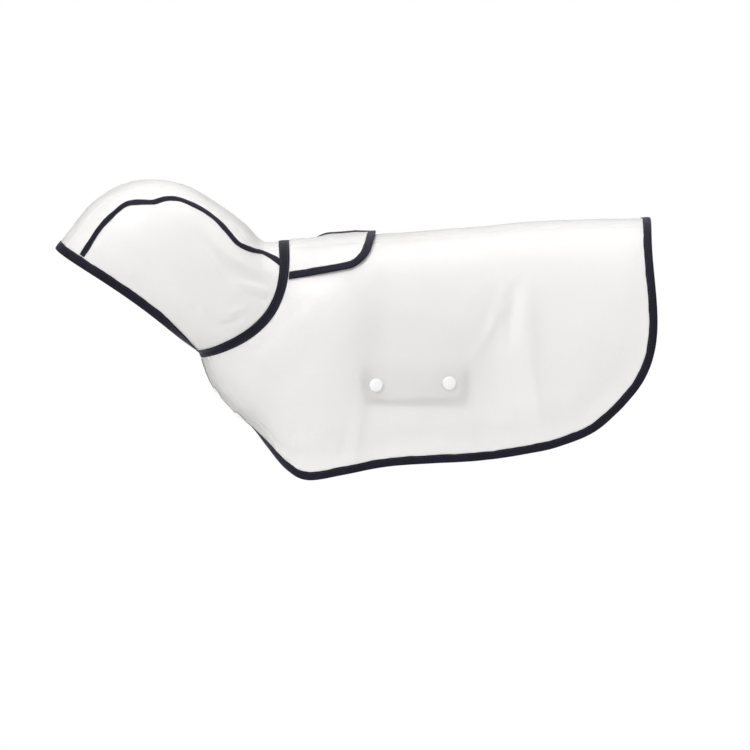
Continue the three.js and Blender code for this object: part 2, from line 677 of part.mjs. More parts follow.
function flapPath() {
  const up = flapRows.map((share) => share * flapEnd(1)).filter((share) => share > FLAP_BINDING_START);
  const shares = [FLAP_BINDING_START, ...up.slice(0, -1)];
  const near = shares.map((share) => ({ at: share, degrees: 1, line: 'column' }));
  const end = [...flapColumns].reverse()
    .map((across) => ({ at: flapEnd(across), degrees: across, line: 'row' }));
  const far = [...shares].reverse().map((share) => ({ at: share, degrees: -1, line: 'column' }));
  return [...near, ...end, ...far].map((station) => ({ ...station, width: EDGE_TAPE_WIDTH }));
}

// Belly strap: its ends lie inside the panels, and it hangs between them under the belly
const strapColumns = [-1, -0.88, -0.7, -0.4, 0, 0.4, 0.7, 0.88, 1];
function strapPoint(at, across) {
  const course = readTable(strapCourse, at);
  const x = STRAP_MIDDLE_X + STRAP_HALF * across;
  const panel = bodyAt(x, course.z, course.y < 0 ? 1 : -1);
  const reach = (Math.abs(panel.point.y) - STRAP_SPACE) / STRAP_REACH;
  return vector(x, course.y * reach, course.z);
}
const strapMemory = new Map();
function strapMemo(at, across) {
  const key = `${at.toFixed(4)} ${across.toFixed(4)}`;
  if (!strapMemory.has(key)) strapMemory.set(key, strapPoint(at, across));
  return strapMemory.get(key).clone();
}
function strap(at, across) {
  const run = strapMemo(at + 0.1, across).sub(strapMemo(at - 0.1, across));
  const round = strapMemo(at, across + 0.1).sub(strapMemo(at, across - 0.1));
  return { point: strapMemo(at, across), normal: run.cross(round).normalize() };
}
function strapStart(across) {
  const cornerStart = 1 - STRAP_CORNER / STRAP_HALF;
  const t = clamp((Math.abs(across) - cornerStart) / (1 - cornerStart), 0, 1);
  return (STRAP_CORNER / STRAP_STEP) * (1 - Math.sqrt(1 - t * t));
}
const STRAP_SQUARE = 2;
const strapRows = [
  0, 0.5, 1, 1.5, 2, 2.5, 3, 3.4, 3.7, 4, 4.3, 4.6, 5, 5.4,
  6, 6.6, 7.2, 8, 9, 10, 11, 12, 12.7, 13.3, 14, 15, 16,
];
const strapRow = (across, row) => (row >= STRAP_SQUARE ? row
  : THREE.MathUtils.lerp(strapStart(across), STRAP_SQUARE, row / STRAP_SQUARE));
const strapPatch = (row, across) => strap(strapRow(across, row), across);
function strapPath() {
  const rows = strapRows.slice(1);
  const one = [...rows].reverse().map((row) => ({ at: strapRow(-1, row), degrees: -1, line: 'column' }));
  const end = strapColumns.map((across) => ({ at: strapStart(across), degrees: across, line: 'row' }));
  const two = rows.map((row) => ({ at: strapRow(1, row), degrees: 1, line: 'column' }));
  return [...one, ...end, ...two].map((station) => ({ ...station, width: EDGE_TAPE_WIDTH }));
}

// Snap pieces: a domed cap, or a plain disc of a height
const AXIS = vector(0, 1, 0);
function capGeometry(radius, height) {
  const profile = [[0, 0], [radius, 0], [radius, height * 0.45], [radius * 0.86, height * 0.85], [0, height]];
  return new THREE.LatheGeometry(profile.map(([x, y]) => new THREE.Vector2(x, y)), SNAP_SIDES);
}
function discGeometry(radius, height) {
  const profile = [[0, 0], [radius, 0], [radius, height], [0, height]];
  return new THREE.LatheGeometry(profile.map(([x, y]) => new THREE.Vector2(x, y)), SNAP_SIDES);
}

// Materials
const filmMaterial = new THREE.MeshStandardMaterial({ color: 0xeeeded, roughness: 0.45, metalness: 0 });
const tapeMaterial = new THREE.MeshStandardMaterial({ color: 0x211f34, roughness: 0.7, metalness: 0 });
const snapMaterial = new THREE.MeshStandardMaterial({ color: 0xf3f3f3, roughness: 0.35, metalness: 0 });

const raincoat = new THREE.Group();
function add(name, geometry, material) {
  const mesh = new THREE.Mesh(geometry, material);
  mesh.name = name;
  raincoat.add(mesh);
  return mesh;
}

// A piece stood on a place: its base lies at a lift above it and it rises along a direction
function stand(mesh, point, direction) {
  mesh.position.copy(point);
  mesh.quaternion.setFromUnitVectors(AXIS, direction);
}

const CAP_SEAT = INNER + 0.25;
const CHEST_SNAP_SEAT = INNER + 0.65;
function addSnap(name, panel, under, seat) {
  const inward = panel.normal.clone().negate();
  const space = panel.point.clone().sub(under.point).dot(panel.normal);
  stand(add(`${name}_cap`, capGeometry(SNAP_RADIUS, CAP_HEIGHT), snapMaterial),
    along(panel.point, panel.normal, CAP_SEAT), panel.normal);
  stand(add(`${name}_socket`, discGeometry(SOCKET_RADIUS, space - 2 * seat - SOCKET_PLAY), snapMaterial),
    along(panel.point, inward, seat), inward);
  const below = under.normal.clone().multiplyScalar(-Math.sign(under.normal.dot(panel.normal)));
  stand(add(`${name}_back`, capGeometry(SOCKET_RADIUS, CAP_HEIGHT), snapMaterial),
    along(under.point, below, seat), below);
}

// The right front's place below a left front place
function lapBelow(panel, at) {
  const below = nearest(
    (i, j) => {
      const offset = bodyPoint(i, j).sub(panel.point);
      return offset.addScaledVector(panel.normal, -offset.dot(panel.normal)).length();
    },
    at, -185, 0.4, 8,
  );
  return body(below.at, below.degrees);
}

add('body_panel', bodyGeometry(), filmMaterial);
add('hood_centre_strip', wallGeometry(stripPatch, hoodRows, stripColumns), filmMaterial);
add('hood_side_left', wallGeometry(leftSidePatch, hoodRows, sideColumns), filmMaterial);
add('hood_side_right', wallGeometry(rightSidePatch, hoodRows, sideColumns), filmMaterial);
add('neck_seam_binding', bandGeometry(neckStations()), tapeMaterial);
add('hood_seam_binding_left', bandGeometry(hoodSeamStations((at) => seamAngles(at).near)), tapeMaterial);
add('hood_seam_binding_right', bandGeometry(hoodSeamStations((at) => seamAngles(at).far)), tapeMaterial);
add('hood_face_binding', channelGeometry(hood, facePath(), -1), tapeMaterial);
add('coat_edge_binding', channelGeometry(body, coatEdgePath(), 1), tapeMaterial);
add('leash_slit_binding', slitBindingGeometry(), tapeMaterial);
add('leash_flap', wallGeometry(flapPatch, flapRows, flapColumns), filmMaterial);
add('leash_flap_binding', channelGeometry(flap, flapPath(), 1), tapeMaterial);
add('belly_strap', wallGeometry(strapPatch, strapRows, strapColumns), filmMaterial);
add('belly_strap_binding', channelGeometry(strap, strapPath(), -1), tapeMaterial);
strapSnaps.forEach((snap, i) => {
  const course = (strapCourse[0].z - snap.z) / -STRAP_STEP;
  const under = strap(course, (snap.x - STRAP_MIDDLE_X) / STRAP_HALF);
  addSnap(`strap_snap_${i + 1}`, bodyAt(snap.x, snap.z, 1), under, CAP_SEAT);
});
chestSnaps.forEach((snap, i) => {
  const panel = body(snap.rib, snap.angle);
  addSnap(`chest_snap_${i + 1}`, panel, lapBelow(panel, snap.rib), CHEST_SNAP_SEAT);
});

export default raincoat;
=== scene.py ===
# Dog raincoat of frosted film with bound edges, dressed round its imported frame.
import math

import bmesh
import bpy
import numpy as np
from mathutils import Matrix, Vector


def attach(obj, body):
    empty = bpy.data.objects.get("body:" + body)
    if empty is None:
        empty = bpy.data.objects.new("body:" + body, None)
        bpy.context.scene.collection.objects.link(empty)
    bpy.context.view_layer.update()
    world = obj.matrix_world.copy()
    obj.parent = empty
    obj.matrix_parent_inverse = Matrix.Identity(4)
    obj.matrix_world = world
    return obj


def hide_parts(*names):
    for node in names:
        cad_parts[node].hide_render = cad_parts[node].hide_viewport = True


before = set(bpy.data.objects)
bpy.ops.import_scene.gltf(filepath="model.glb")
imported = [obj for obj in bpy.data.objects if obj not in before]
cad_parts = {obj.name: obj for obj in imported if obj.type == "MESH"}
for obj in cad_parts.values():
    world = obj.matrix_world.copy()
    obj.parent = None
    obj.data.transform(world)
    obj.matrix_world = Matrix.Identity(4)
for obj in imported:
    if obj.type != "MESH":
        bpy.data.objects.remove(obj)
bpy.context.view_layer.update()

MM = 0.001

# Cloth sizes in millimetres, as the frame's own walls have them unless they are drawn thinner here
FILM = 0.4
TAPE = 0.6
TAPE_CLEARANCE = 0.12
EDGE_TAPE_WIDTH = 7.2
FACE_TAPE_WIDTH = 8.2
NECK_TAPE_HALF = 4.3
HOOD_TAPE_HALF = 2.9
SLIT_TAPE_WIDTH = 3.0
NARROWEST_TAPE = 1.6
LAP = 4.6
SHOULDER = 0.25
STITCH_PITCH = 3.0
STITCH_LENGTH = 2.2
THREAD_RADIUS = 0.2

# Photograph's view
CAMERA_ELEVATION = 5.0
CAMERA_DISTANCE = 2400.0
CAMERA_AIM = (-62.0, 0.0, -138.0)
FRAME_WIDTH = 712.5
SENSOR_WIDTH = 36.0
CAMERA_REACH = 50.0


def columns(names, rows):
    return names.split(), np.array(rows, float)


# Body ribs from the neck seam to the rear edge, as the frame's body panel has them
RIB_NAMES = "ridge_x ridge_z bow_upper bow_lower half left_x left_z left_turn right_x right_z right_turn"
RIBS = columns(RIB_NAMES, [
    [-148, -11, 47, 34, 53, -228, -116, 183, -228, -116, 199],
    [-133, -10, 34, 28, 60, -217, -146, 184, -217, -146, 202],
    [-114, -9, 22, 24, 68, -197, -171, 184, -197, -171, 204],
    [-93, -8, 15, 16, 75, -179, -186, 178, -178, -187, 205],
    [-74, -6, 9, 10, 80, -163, -202, 160, -161, -205, 202],
    [-55, -4, 5, 6, 84, -144, -220, 140, -143, -217, 190],
    [-36, -3, 2, 3, 86, -124, -228, 122, -122, -223, 166],
    [-12, -1, 0, 1, 88, -90, -222, 106, -89, -221, 133],
    [14, 1, 0, 0, 89, -48, -214, 95, -48, -213, 104],
    [42, 3, 0, 0, 90, -7, -210.8, 88, -7, -209, 88],
    [70, 6, 0, 0, 90, 34, -208.5, 84, 34, -207, 84],
    [99, 8, 0, 0, 90, 73, -203, 81, 73, -203, 81],
    [127, 9, 0, 1, 90, 108, -195, 79, 108, -195, 79],
    [153, 10, 1, 6, 88, 138, -183, 78, 138, -183, 78],
    [177, 10, 0, 18, 86, 160, -165, 78, 160, -165, 78],
    [197, 11, -4, 35, 84, 173.5, -150.5, 80, 173.5, -150.5, 80],
])

# Hood sections from the face edge to the neck seam, fanned about the throat
HOOD_SECTIONS = columns("ridge_x ridge_z bow_upper bow_lower half far_seam", [
    [-363, -17, 6, 10, 55, 50],
    [-350, 0, 6, 9, 57, 47],
    [-329, 25, 8, 6, 59, 44],
    [-302, 42, 6, 5, 61, 42],
    [-274, 47, 6, 6, 62, 40],
    [-242, 42, 8, 8, 62, 38],
    [-210, 24, 13, 11, 60, 34],
    [-186, 6, 20, 16, 58, 29],
    [-168, -11, 33, 25, 55, 24],
    [-148, -11, 47, 34, 53, 23],
])

# The near hood seam wanders: hood section and angle at each bend
NEAR_SEAM = columns("section angle", [
    [0, 50], [0.4, 49], [1.2, 47], [1.8, 45], [2.4, 43], [3, 39.5], [3.6, 42], [4, 43], [4.4, 38],
    [4.8, 35.5], [5.2, 36], [5.6, 35], [6, 37], [6.4, 42], [6.8, 46.5], [7.2, 43], [8, 28],
    [8.4, 32], [8.8, 40], [9, 42],
])

THROAT_FACE = (-234.0, -110.0)
THROAT_NECK = (-228.0, -116.0)
CHEEK_START, CHEEK_LENGTH = 0.35, 0.5
CHIN_START, CHIN_LENGTH = 0.75, 0.2
LAP_START, LAP_LENGTH = 98.0, 72.0

# Folds as lines in side view: side 1 is the wearer's left; height is + for a ridge and - for a trough.
# rise and fade are the shares of the length over which the top and the low end die away.
FOLD_NAMES = "side top_x top_z mid_x mid_z low_x low_z width height rise fade"
BODY_FOLDS = columns(FOLD_NAMES, [
    [1, 72, -32, 80, -115, 99, -215, 11, 4, 0.33, 0],
    [1, 66, -38, 45, -105, 56, -185, 17, -4, 0.33, 0.3],
    [1, -45, -60, -58, -130, -66, -225, 20, -3, 0.33, 0],
    [-1, 58, -36, 70, -118, 82, -215, 12, 4, 0.33, 0],
    [-1, 92, -40, 98, -110, 110, -190, 18, -4, 0.33, 0.3],
    [-1, -40, -55, -60, -130, -75, -225, 20, -3, 0.33, 0],
    [1, 70, -44, 63, -84, 62, -122, 4.5, -1.8, 0.4, 0.5],
    [1, 71, -52, 46, -86, 17, -126, 4, 1.1, 0.3, 0.3],
    [1, 66, -34, 48, -78, 38, -108, 5, 1.2, 0.3, 0.4],
    [1, 84, -96, 92, -150, 96, -205, 5, -1.3, 0.4, 0.3],
    [1, -73, -150, -77, -182, -82, -215, 4, 1.1, 0.4, 0.1],
    [1, -86, -158, -89, -186, -93, -212, 3.5, -0.9, 0.4, 0.2],
    [1, 132, -52, 138, -98, 128, -150, 16, 1.8, 0.5, 0.5],
    [1, -110, -48, -138, -92, -172, -128, 13, 1.6, 0.4, 0.4],
    [1, -132, -62, -160, -100, -198, -132, 8, -1.4, 0.4, 0.4],
    [1, -104, -92, -134, -128, -168, -160, 11, -1.5, 0.4, 0.5],
    [1, 0, -176, 4, -196, 8, -214, 7, 1.2, 0.5, 0],
    [1, 30, -168, 36, -190, 40, -212, 6, -1.1, 0.5, 0],
    [1, -30, -40, -28, -72, -32, -104, 14, 1.2, 0.5, 0.5],
    [-1, 60, -48, 50, -90, 30, -130, 5, 1.2, 0.4, 0.4],
    [-1, 96, -60, 92, -100, 90, -140, 6, -1.6, 0.4, 0.5],
    [-1, 120, -58, 132, -104, 124, -156, 14, 2.0, 0.5, 0.5],
    [-1, -96, -50, -122, -94, -150, -134, 12, 1.8, 0.4, 0.4],
    [-1, -122, -58, -152, -98, -190, -130, 8, -1.5, 0.4, 0.4],
    [-1, -84, -150, -88, -182, -92, -214, 4.5, 1.2, 0.4, 0.1],
    [-1, 4, -150, -4, -184, -6, -212, 7, -1.3, 0.5, 0],
    [-1, 30, -160, 30, -188, 34, -212, 6, 1.2, 0.5, 0],
])
HOOD_FOLDS = columns(FOLD_NAMES, [
    [1, -238, 14, -203, -34, -168, -52, 9, -3, 0.33, 0.4],
    [1, -240, -50, -220, -78, -196, -94, 9, -2, 0.33, 0.4],
    [-1, -240, 8, -208, -30, -172, -50, 10, -3, 0.33, 0.4],
    [1, -234, 15, -200, -21, -154, -46, 4.5, 2.2, 0.4, 0.2],
    [1, -196, -44, -176, -51, -156, -58, 3, 1.8, 0.4, 0.3],
    [1, -190, -56, -174, -60, -158, -66, 2.6, -1.2, 0.4, 0.3],
    [1, -218, -90, -200, -86, -180, -79, 3.2, -1.8, 0.4, 0.4],
    [1, -206, -78, -190, -73, -172, -70, 3, 1.3, 0.4, 0.4],
    [1, -226, -4, -214, -26, -200, -48, 5, 1.6, 0.4, 0.4],
    [1, -300, 12, -282, -14, -262, -34, 12, 1.2, 0.5, 0.5],
    [1, -272, -34, -252, -58, -236, -78, 8, 1.2, 0.5, 0.5],
    [-1, -200, -44, -180, -52, -160, -56, 3.5, 1.0, 0.4, 0.3],
    [-1, -296, 6, -276, -16, -258, -40, 11, 1.4, 0.5, 0.5],
    [-1, -218, -88, -200, -84, -184, -78, 3.5, -1.0, 0.4, 0.4],
])

# The belly strap's course across the garment, with the panels taken at STRAP_REACH from the middle
STRAP_COURSE = columns("y z", [
    [-84, -159], [-84, -149], [-84, -139], [-83.6, -131], [-80.5, -126], [-76, -126], [-73, -132],
    [-66, -147], [-46, -161], [-20, -168], [8, -169], [36, -164], [60, -152], [76, -138], [83.5, -124],
    [85.2, -112], [85.2, -100],
])
STRAP_REACH = 84.0
STRAP_SPACE = 4.2
STRAP_MIDDLE_X = -25.5
STRAP_HALF = 50.0
STRAP_CORNER = 15.0
STRAP_STEP = 10.0
STRAP_SQUARE = 2.0
STRAP_LAST = 16.0

# Leash flap and slit, on the body's ribs
FLAP_LAST_RIB = 4.66
FLAP_NEAR_ANGLE = 54.5
FLAP_NEAR_TAPER = 2.8
FLAP_FAR_ANGLE = -25.0
FLAP_LENGTH = 82.0
FLAP_CORNER = 18.0
FLAP_CORNER_START = 0.58
FLAP_SEAT = 1.5
FLAP_RISE, FLAP_RISE_START, FLAP_RISE_LENGTH, FLAP_RISE_SAG = 1.3, 0.2, 0.35, 0.35
FLAP_FAR_LIFT, FLAP_LIFT_START, FLAP_LIFT_LENGTH, FLAP_LIFT_ACROSS, FLAP_LIFT_POWER = 12.5, 0.1, 0.4, 0.1, 4
FLAP_FRONT_GAP = 4.95
FLAP_FRONT_ROWS = 0.3
SLIT_RIB, SLIT_ANGLE, SLIT_LENGTH, SLIT_WIDTH = 1.82, 19.0, 32.0, 11.0

# Snap places: on the left panel in side view for the strap, on the body's ribs for the chest
STRAP_SNAPS = [(-61.0, -140.0), (6.0, -138.0)]
CHEST_SNAPS = [(1.3, 169.0), (2.35, 168.0)]
CAP_RADIUS, CAP_HEIGHT = 6.2, 1.9
SOCKET_RADIUS = 5.0
STRAP_SNAP_SEATS = (0.35, 0.35, 0.2)
CHEST_SNAP_SEATS = (0.45, 0.6, 0.2)
LAPPED_ROWS = 0.8
LAPPED_ANGLES = (-199, -165)

REAR = len(RIBS[1]) - 1.0
NECK = len(HOOD_SECTIONS[1]) - 1.0
STEP_ROW = 0.03
STEP_ANGLE = 0.6
FLATTEST = 0.35
SQUARE_ENOUGH = 0.5
PACES = 3
SETTLE_PASSES = 10
RUN_PASSES = 2
CORNER_ROWS, CORNER_ANGLE = 0.4, 6
GRID_ROW, GRID_ANGLE = 0.06, 1.2
TAPE_WAVES = ((31.0, 0.5), (17.0, 0.3), (9.0, 0.2))
PUCKER_WAVES = ((7.3, 0.5), (5.1, 0.3), (12.7, 0.4))


# Small maths on arrays of places
def ease(value):
    value = np.clip(value, 0.0, 1.0)
    return value * value * (3.0 - 2.0 * value)


def mix(a, b, share):
    return a + (b - a) * share


def unit(v):
    return v / np.maximum(np.linalg.norm(v, axis=-1, keepdims=True), 1e-9)


def dot(a, b):
    return np.sum(a * b, axis=-1)


def paired(at, degrees):
    return np.broadcast_arrays(np.asarray(at, float), np.asarray(degrees, float))


def grid(rows, across):
    return np.meshgrid(rows, across, indexing="ij")


def run_length(line):
    """Distance from a line's start to each of its points."""
    return np.concatenate([[0], np.cumsum(np.linalg.norm(np.diff(line, axis=0), axis=1))])


def read(table, at):
    """Catmull-Rom reading of a table's columns at real-valued rows."""
    names, rows = table
    first = np.clip(np.floor(at).astype(int), 0, len(rows) - 2)
    t = (at - first)[..., None]
    a, b, c, d = (rows[np.clip(first + i, 0, len(rows) - 1)] for i in (-1, 0, 1, 2))
    value = 0.5 * (2 * b + (c - a) * t + (2 * a - 5 * b + 4 * c - d) * t**2 + (3 * b - a - 3 * c + d) * t**3)
    return {name: value[..., i] for i, name in enumerate(names)}


def ripple(distance, seed, waves=TAPE_WAVES):
    """Uneven waving along a length, within about -1 to 1."""
    phases = np.random.default_rng(seed).uniform(0, 2 * math.pi, len(waves))
    return sum(share * np.sin(2 * math.pi * distance / length + phase)
               for (length, share), phase in zip(waves, phases))


# The garment's surfaces, in millimetres
def spread(angle):
    return np.sin(angle) * (1 + SHOULDER * np.cos(angle) ** 2)


def rib_curve(row, bow_upper, bow_lower, end_x, end_z, share):
    dx, dz = end_x - row["ridge_x"], end_z - row["ridge_z"]
    length = np.hypot(dx, dz)
    out_x, out_z = -dz / length, dx / length
    places = []
    for ridge, step, out, end in ((row["ridge_x"], dx, out_x, end_x), (row["ridge_z"], dz, out_z, end_z)):
        upper = ridge + step / 3 + out * bow_upper
        lower = ridge + step * 2 / 3 + out * bow_lower
        m = 1 - share
        places.append(m**3 * ridge + 3 * m * m * share * upper + 3 * m * share**2 * lower + share**3 * end)
    return places


def lapped(point, degrees, middle_x, middle_z):
    """The right front passes under the left one, so it closes in towards its section's middle."""
    middle = np.stack([middle_x, np.zeros_like(middle_x), middle_z], -1)
    depth = np.where(degrees < 0, LAP * ease((-degrees - LAP_START) / LAP_LENGTH), 0.0)
    return point + unit(middle - point) * depth[..., None]


def body_base(at, degrees):
    row = read(RIBS, at)
    left = degrees >= 0
    end_x = np.where(left, row["left_x"], row["right_x"])
    end_z = np.where(left, row["left_z"], row["right_z"])
    turn = np.minimum(np.where(left, row["left_turn"], row["right_turn"]), 180.0)
    angle = np.radians(np.abs(degrees))
    share = (1 - np.cos(angle)) / (1 - np.cos(np.radians(turn)))
    x, z = rib_curve(row, row["bow_upper"], row["bow_lower"], end_x, end_z, share)
    point = np.stack([x, -np.sign(degrees) * row["half"] * spread(angle), z], -1)
    middle = rib_curve(row, row["bow_upper"], row["bow_lower"], row["right_x"], row["right_z"], 0.5)
    return lapped(point, degrees, *middle)


def hood_curve(at, share):
    section = read(HOOD_SECTIONS, at)
    end_x = mix(THROAT_FACE[0], THROAT_NECK[0], at / NECK)
    end_z = mix(THROAT_FACE[1], THROAT_NECK[1], at / NECK)
    return np.stack(rib_curve(section, section["bow_upper"], section["bow_lower"], end_x, end_z, share), -1)


def hood_base(at, degrees):
    angle = np.radians(np.abs(degrees))
    share = (1 - np.cos(angle)) / 2
    zero, neck = np.zeros_like(at), np.full_like(at, NECK)
    cheek = ease((share - CHEEK_START) / CHEEK_LENGTH)
    fan = mix(hood_curve(zero, share), hood_curve(neck, share), (at / NECK)[..., None])
    flat = mix(hood_curve(at, share), fan, cheek[..., None])
    even_half = mix(read(HOOD_SECTIONS, zero)["half"], read(HOOD_SECTIONS, neck)["half"], at / NECK)
    half = mix(read(HOOD_SECTIONS, at)["half"], even_half, cheek)
    point = np.stack([flat[..., 0], -np.sign(degrees) * half * spread(angle), flat[..., 1]], -1)
    chin = ease((share - CHIN_START) / CHIN_LENGTH)[..., None]
    middle = mix(hood_curve(at, np.full_like(at, 0.5)), hood_curve(neck, np.full_like(at, 0.5)), chin)
    return lapped(point, degrees, middle[..., 0], middle[..., 1])


def fold_height(folds, point):
    height = np.zeros(point.shape[:-1])
    place = point[..., [0, 2]]
    for side, top_x, top_z, mid_x, mid_z, low_x, low_z, width, tall, rise, fade in folds[1]:
        gap = np.full(height.shape, 1e9)
        share = np.zeros(height.shape)
        marks = np.array([[top_x, top_z], [mid_x, mid_z], [low_x, low_z]])
        for i in (0, 1):
            run = marks[i + 1] - marks[i]
            t = np.clip((place - marks[i]) @ run / (run @ run), 0, 1)
            away = np.linalg.norm(place - marks[i] - t[..., None] * run, axis=-1)
            share = np.where(away < gap, (i + t) / 2, share)
            gap = np.minimum(gap, away)
        ends = ease(share / rise) * (ease((1 - share) / fade) if fade > 0 else 1.0)
        on_side = (point[..., 1] <= 0) == (side > 0)
        height += np.where(on_side, tall * np.exp(-((gap / width) ** 2)) * ends, 0.0)
    return height


def spans(place_of, at, degrees):
    """How far a place moves over two steps by row and two by angle."""
    return (place_of(at + STEP_ROW, degrees) - place_of(at - STEP_ROW, degrees),
            place_of(at, degrees + STEP_ANGLE) - place_of(at, degrees - STEP_ANGLE))


def slopes_ahead(place_of, at, degrees):
    """A place, with how it moves by row and by degree."""
    here = place_of(at, degrees)
    return (here, (place_of(at + STEP_ROW, degrees) - here) / STEP_ROW,
            (place_of(at, degrees + STEP_ANGLE) - here) / STEP_ANGLE)


def normal_of(surface, at, degrees):
    row, around = spans(surface, at, degrees)
    return unit(np.cross(around, row))


def in_from_corners(at, degrees):
    """Near the rear corners a normal is read a little inside, where the grid is square."""
    inside = np.minimum(at, REAR - CORNER_ROWS)
    rib = read(RIBS, inside)
    held = np.clip(degrees, CORNER_ANGLE - rib["right_turn"], rib["left_turn"] - CORNER_ANGLE)
    return inside, np.where(at > REAR - 1, held, degrees)


def body_normal(surface, at, degrees):
    return normal_of(surface, *in_from_corners(at, degrees))


def folded(base, normal, folds):
    def point(at, degrees):
        at, degrees = paired(at, degrees)
        place = base(at, degrees)
        return place + normal(base, at, degrees) * fold_height(folds, place)[..., None]
    return point


def cubic_weights(t):
    return [(-t**3 + 2 * t**2 - t) / 2, (3 * t**3 - 5 * t**2 + 2) / 2,
            (-3 * t**3 + 4 * t**2 + t) / 2, (t**3 - t**2) / 2]


def sampled(point, rows, angles):
    """The surface read from an even grid of its places, which is far quicker than working it out again."""
    places = point(*grid(rows, angles))
    normals = unit(np.cross(np.gradient(places, axis=1), np.gradient(places, axis=0)))
    both = np.concatenate([places, normals], axis=-1)

    def surface(at, degrees):
        at, degrees = paired(at, degrees)
        across = (at - rows[0]) / (rows[1] - rows[0])
        around = (degrees - angles[0]) / (angles[1] - angles[0])
        i = np.clip(np.floor(across).astype(int), 1, len(rows) - 3)
        j = np.clip(np.floor(around).astype(int), 1, len(angles) - 3)
        by_row = cubic_weights(np.clip(across - i, -1, 2)[..., None])
        by_angle = cubic_weights(np.clip(around - j, -1, 2)[..., None])
        value = sum(by_row[a] * by_angle[b] * both[i + a - 1, j + b - 1] for a in range(4) for b in range(4))
        return value[..., :3], unit(value[..., 3:])
    return surface


def even(first, last, step):
    return np.linspace(first, last, int(round((last - first) / step)) + 1)


body_sampled = sampled(folded(body_base, body_normal, BODY_FOLDS), even(-0.4, REAR + 0.3, GRID_ROW),
                       even(-216, 196, GRID_ANGLE))
hood = sampled(folded(hood_base, normal_of, HOOD_FOLDS), even(-0.4, NECK + 0.4, GRID_ROW),
               even(-216, 200, GRID_ANGLE))


def body(at, degrees):
    at, degrees = paired(at, degrees)
    return body_sampled(at, degrees)[0], body_sampled(*in_from_corners(at, degrees))[1]


def body_point(at, degrees):
    return body_sampled(at, degrees)[0]


def hood_point(at, degrees):
    return hood(at, degrees)[0]


def grid_step(row, around, step, lost=False):
    """Rows and degrees that make up a step along a surface, and none where its grid is too flat."""
    a, b, c = dot(row, row), dot(row, around), dot(around, around)
    e, f = dot(row, step), dot(around, step)
    determinant = np.where(lost, 1.0, a * c - b * b)
    return [np.where(lost, 0.0, part / determinant) for part in (e * c - f * b, a * f - b * e)]


def walk(surface, at, degrees, direction, distance):
    """Places a distance away from others in a direction along a surface."""
    start, start_normal = surface(at, degrees)
    here_at, here_degrees = np.array(at, float), np.array(degrees, float)
    lost = np.zeros(here_at.shape, bool)
    for _ in range(PACES):
        _, normal = surface(here_at, here_degrees)
        step = unit(direction - normal * dot(direction, normal)[..., None]) * (distance / PACES)[..., None]
        row, around = spans(lambda a, d: surface(a, d)[0], here_at, here_degrees)
        row, around = row / (2 * STEP_ROW), around / (2 * STEP_ANGLE)
        sizes = np.linalg.norm(row, axis=-1) * np.linalg.norm(around, axis=-1)
        lost |= np.linalg.norm(np.cross(row, around), axis=-1) < FLATTEST * sizes
        more_rows, more_degrees = grid_step(row, around, step, lost)
        here_at, here_degrees = here_at + more_rows, here_degrees + more_degrees
    point, normal = surface(here_at, here_degrees)
    straight = start + direction * distance[..., None]
    chosen = lost[..., None]
    return np.where(chosen, straight, point), np.where(chosen, start_normal, normal)


def smooth_along(values, passes):
    for _ in range(passes):
        padded = np.concatenate([values[:1], values, values[-1:]])
        values = (padded[:-2] + 2 * padded[1:-1] + padded[2:]) / 4
    return values


def settled(surface, at, degrees, by_row, edge, normal, into, width):
    """Places a width into the cloth from its edge, lying on it, with no step where the grid line changes."""
    point, lean = slide(surface, at, degrees, by_row, into, width)
    height = smooth_along(dot(point - edge, normal), SETTLE_PASSES)
    return (edge + into * width[..., None] + normal * height[..., None],
            unit(smooth_along(lean, SETTLE_PASSES)))


def slide(surface, at, degrees, by_row, into, width):
    """As walk, but along the grid line that leads into the cloth where one does so squarely."""
    row_step = np.where(by_row, STEP_ROW, 0.0)
    angle_step = np.where(by_row, 0.0, STEP_ANGLE)
    unit_step = np.where(by_row, STEP_ROW, STEP_ANGLE)

    def read_line(offset):
        return surface(at + np.where(by_row, offset, 0.0), degrees + np.where(by_row, 0.0, offset))[0]

    ahead = surface(at + row_step, degrees + angle_step)[0] - surface(at - row_step, degrees - angle_step)[0]
    squareness = dot(unit(ahead), into)
    usable = np.abs(squareness) >= SQUARE_ENOUGH
    squareness = np.where(usable, squareness, 1.0)
    travelled = np.zeros(at.shape)
    for _ in range(PACES):
        span = np.linalg.norm(read_line(travelled + unit_step) - read_line(travelled - unit_step), axis=-1)
        travelled = travelled + width / PACES / squareness / (span / (2 * unit_step))
    point, normal = surface(at + np.where(by_row, travelled, 0.0), degrees + np.where(by_row, 0.0, travelled))
    walked, walked_normal = walk(surface, at, degrees, into, width)
    chosen = usable[..., None]
    return np.where(chosen, point, walked), np.where(chosen, normal, walked_normal)


# Meshes
def linked(name, data):
    obj = bpy.data.objects.new(name, data)
    bpy.context.scene.collection.objects.link(obj)
    return obj


def mesh_object(name, points, faces, material, uv=None):
    mesh = bpy.data.meshes.new(name)
    mesh.from_pydata((np.asarray(points) * MM).tolist(), [], faces)
    mesh.materials.append(material)
    mesh.shade_smooth()
    if uv is not None:
        layer = mesh.uv_layers.new(name="UVMap")
        corners = np.empty(len(mesh.loops), int)
        mesh.loops.foreach_get("vertex_index", corners)
        layer.data.foreach_set("uv", np.asarray(uv)[corners].ravel())
    return linked(name, mesh)


def make_object(*parts, uv=None):
    obj = mesh_object(*parts, uv=uv)
    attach(obj, "root")
    return obj


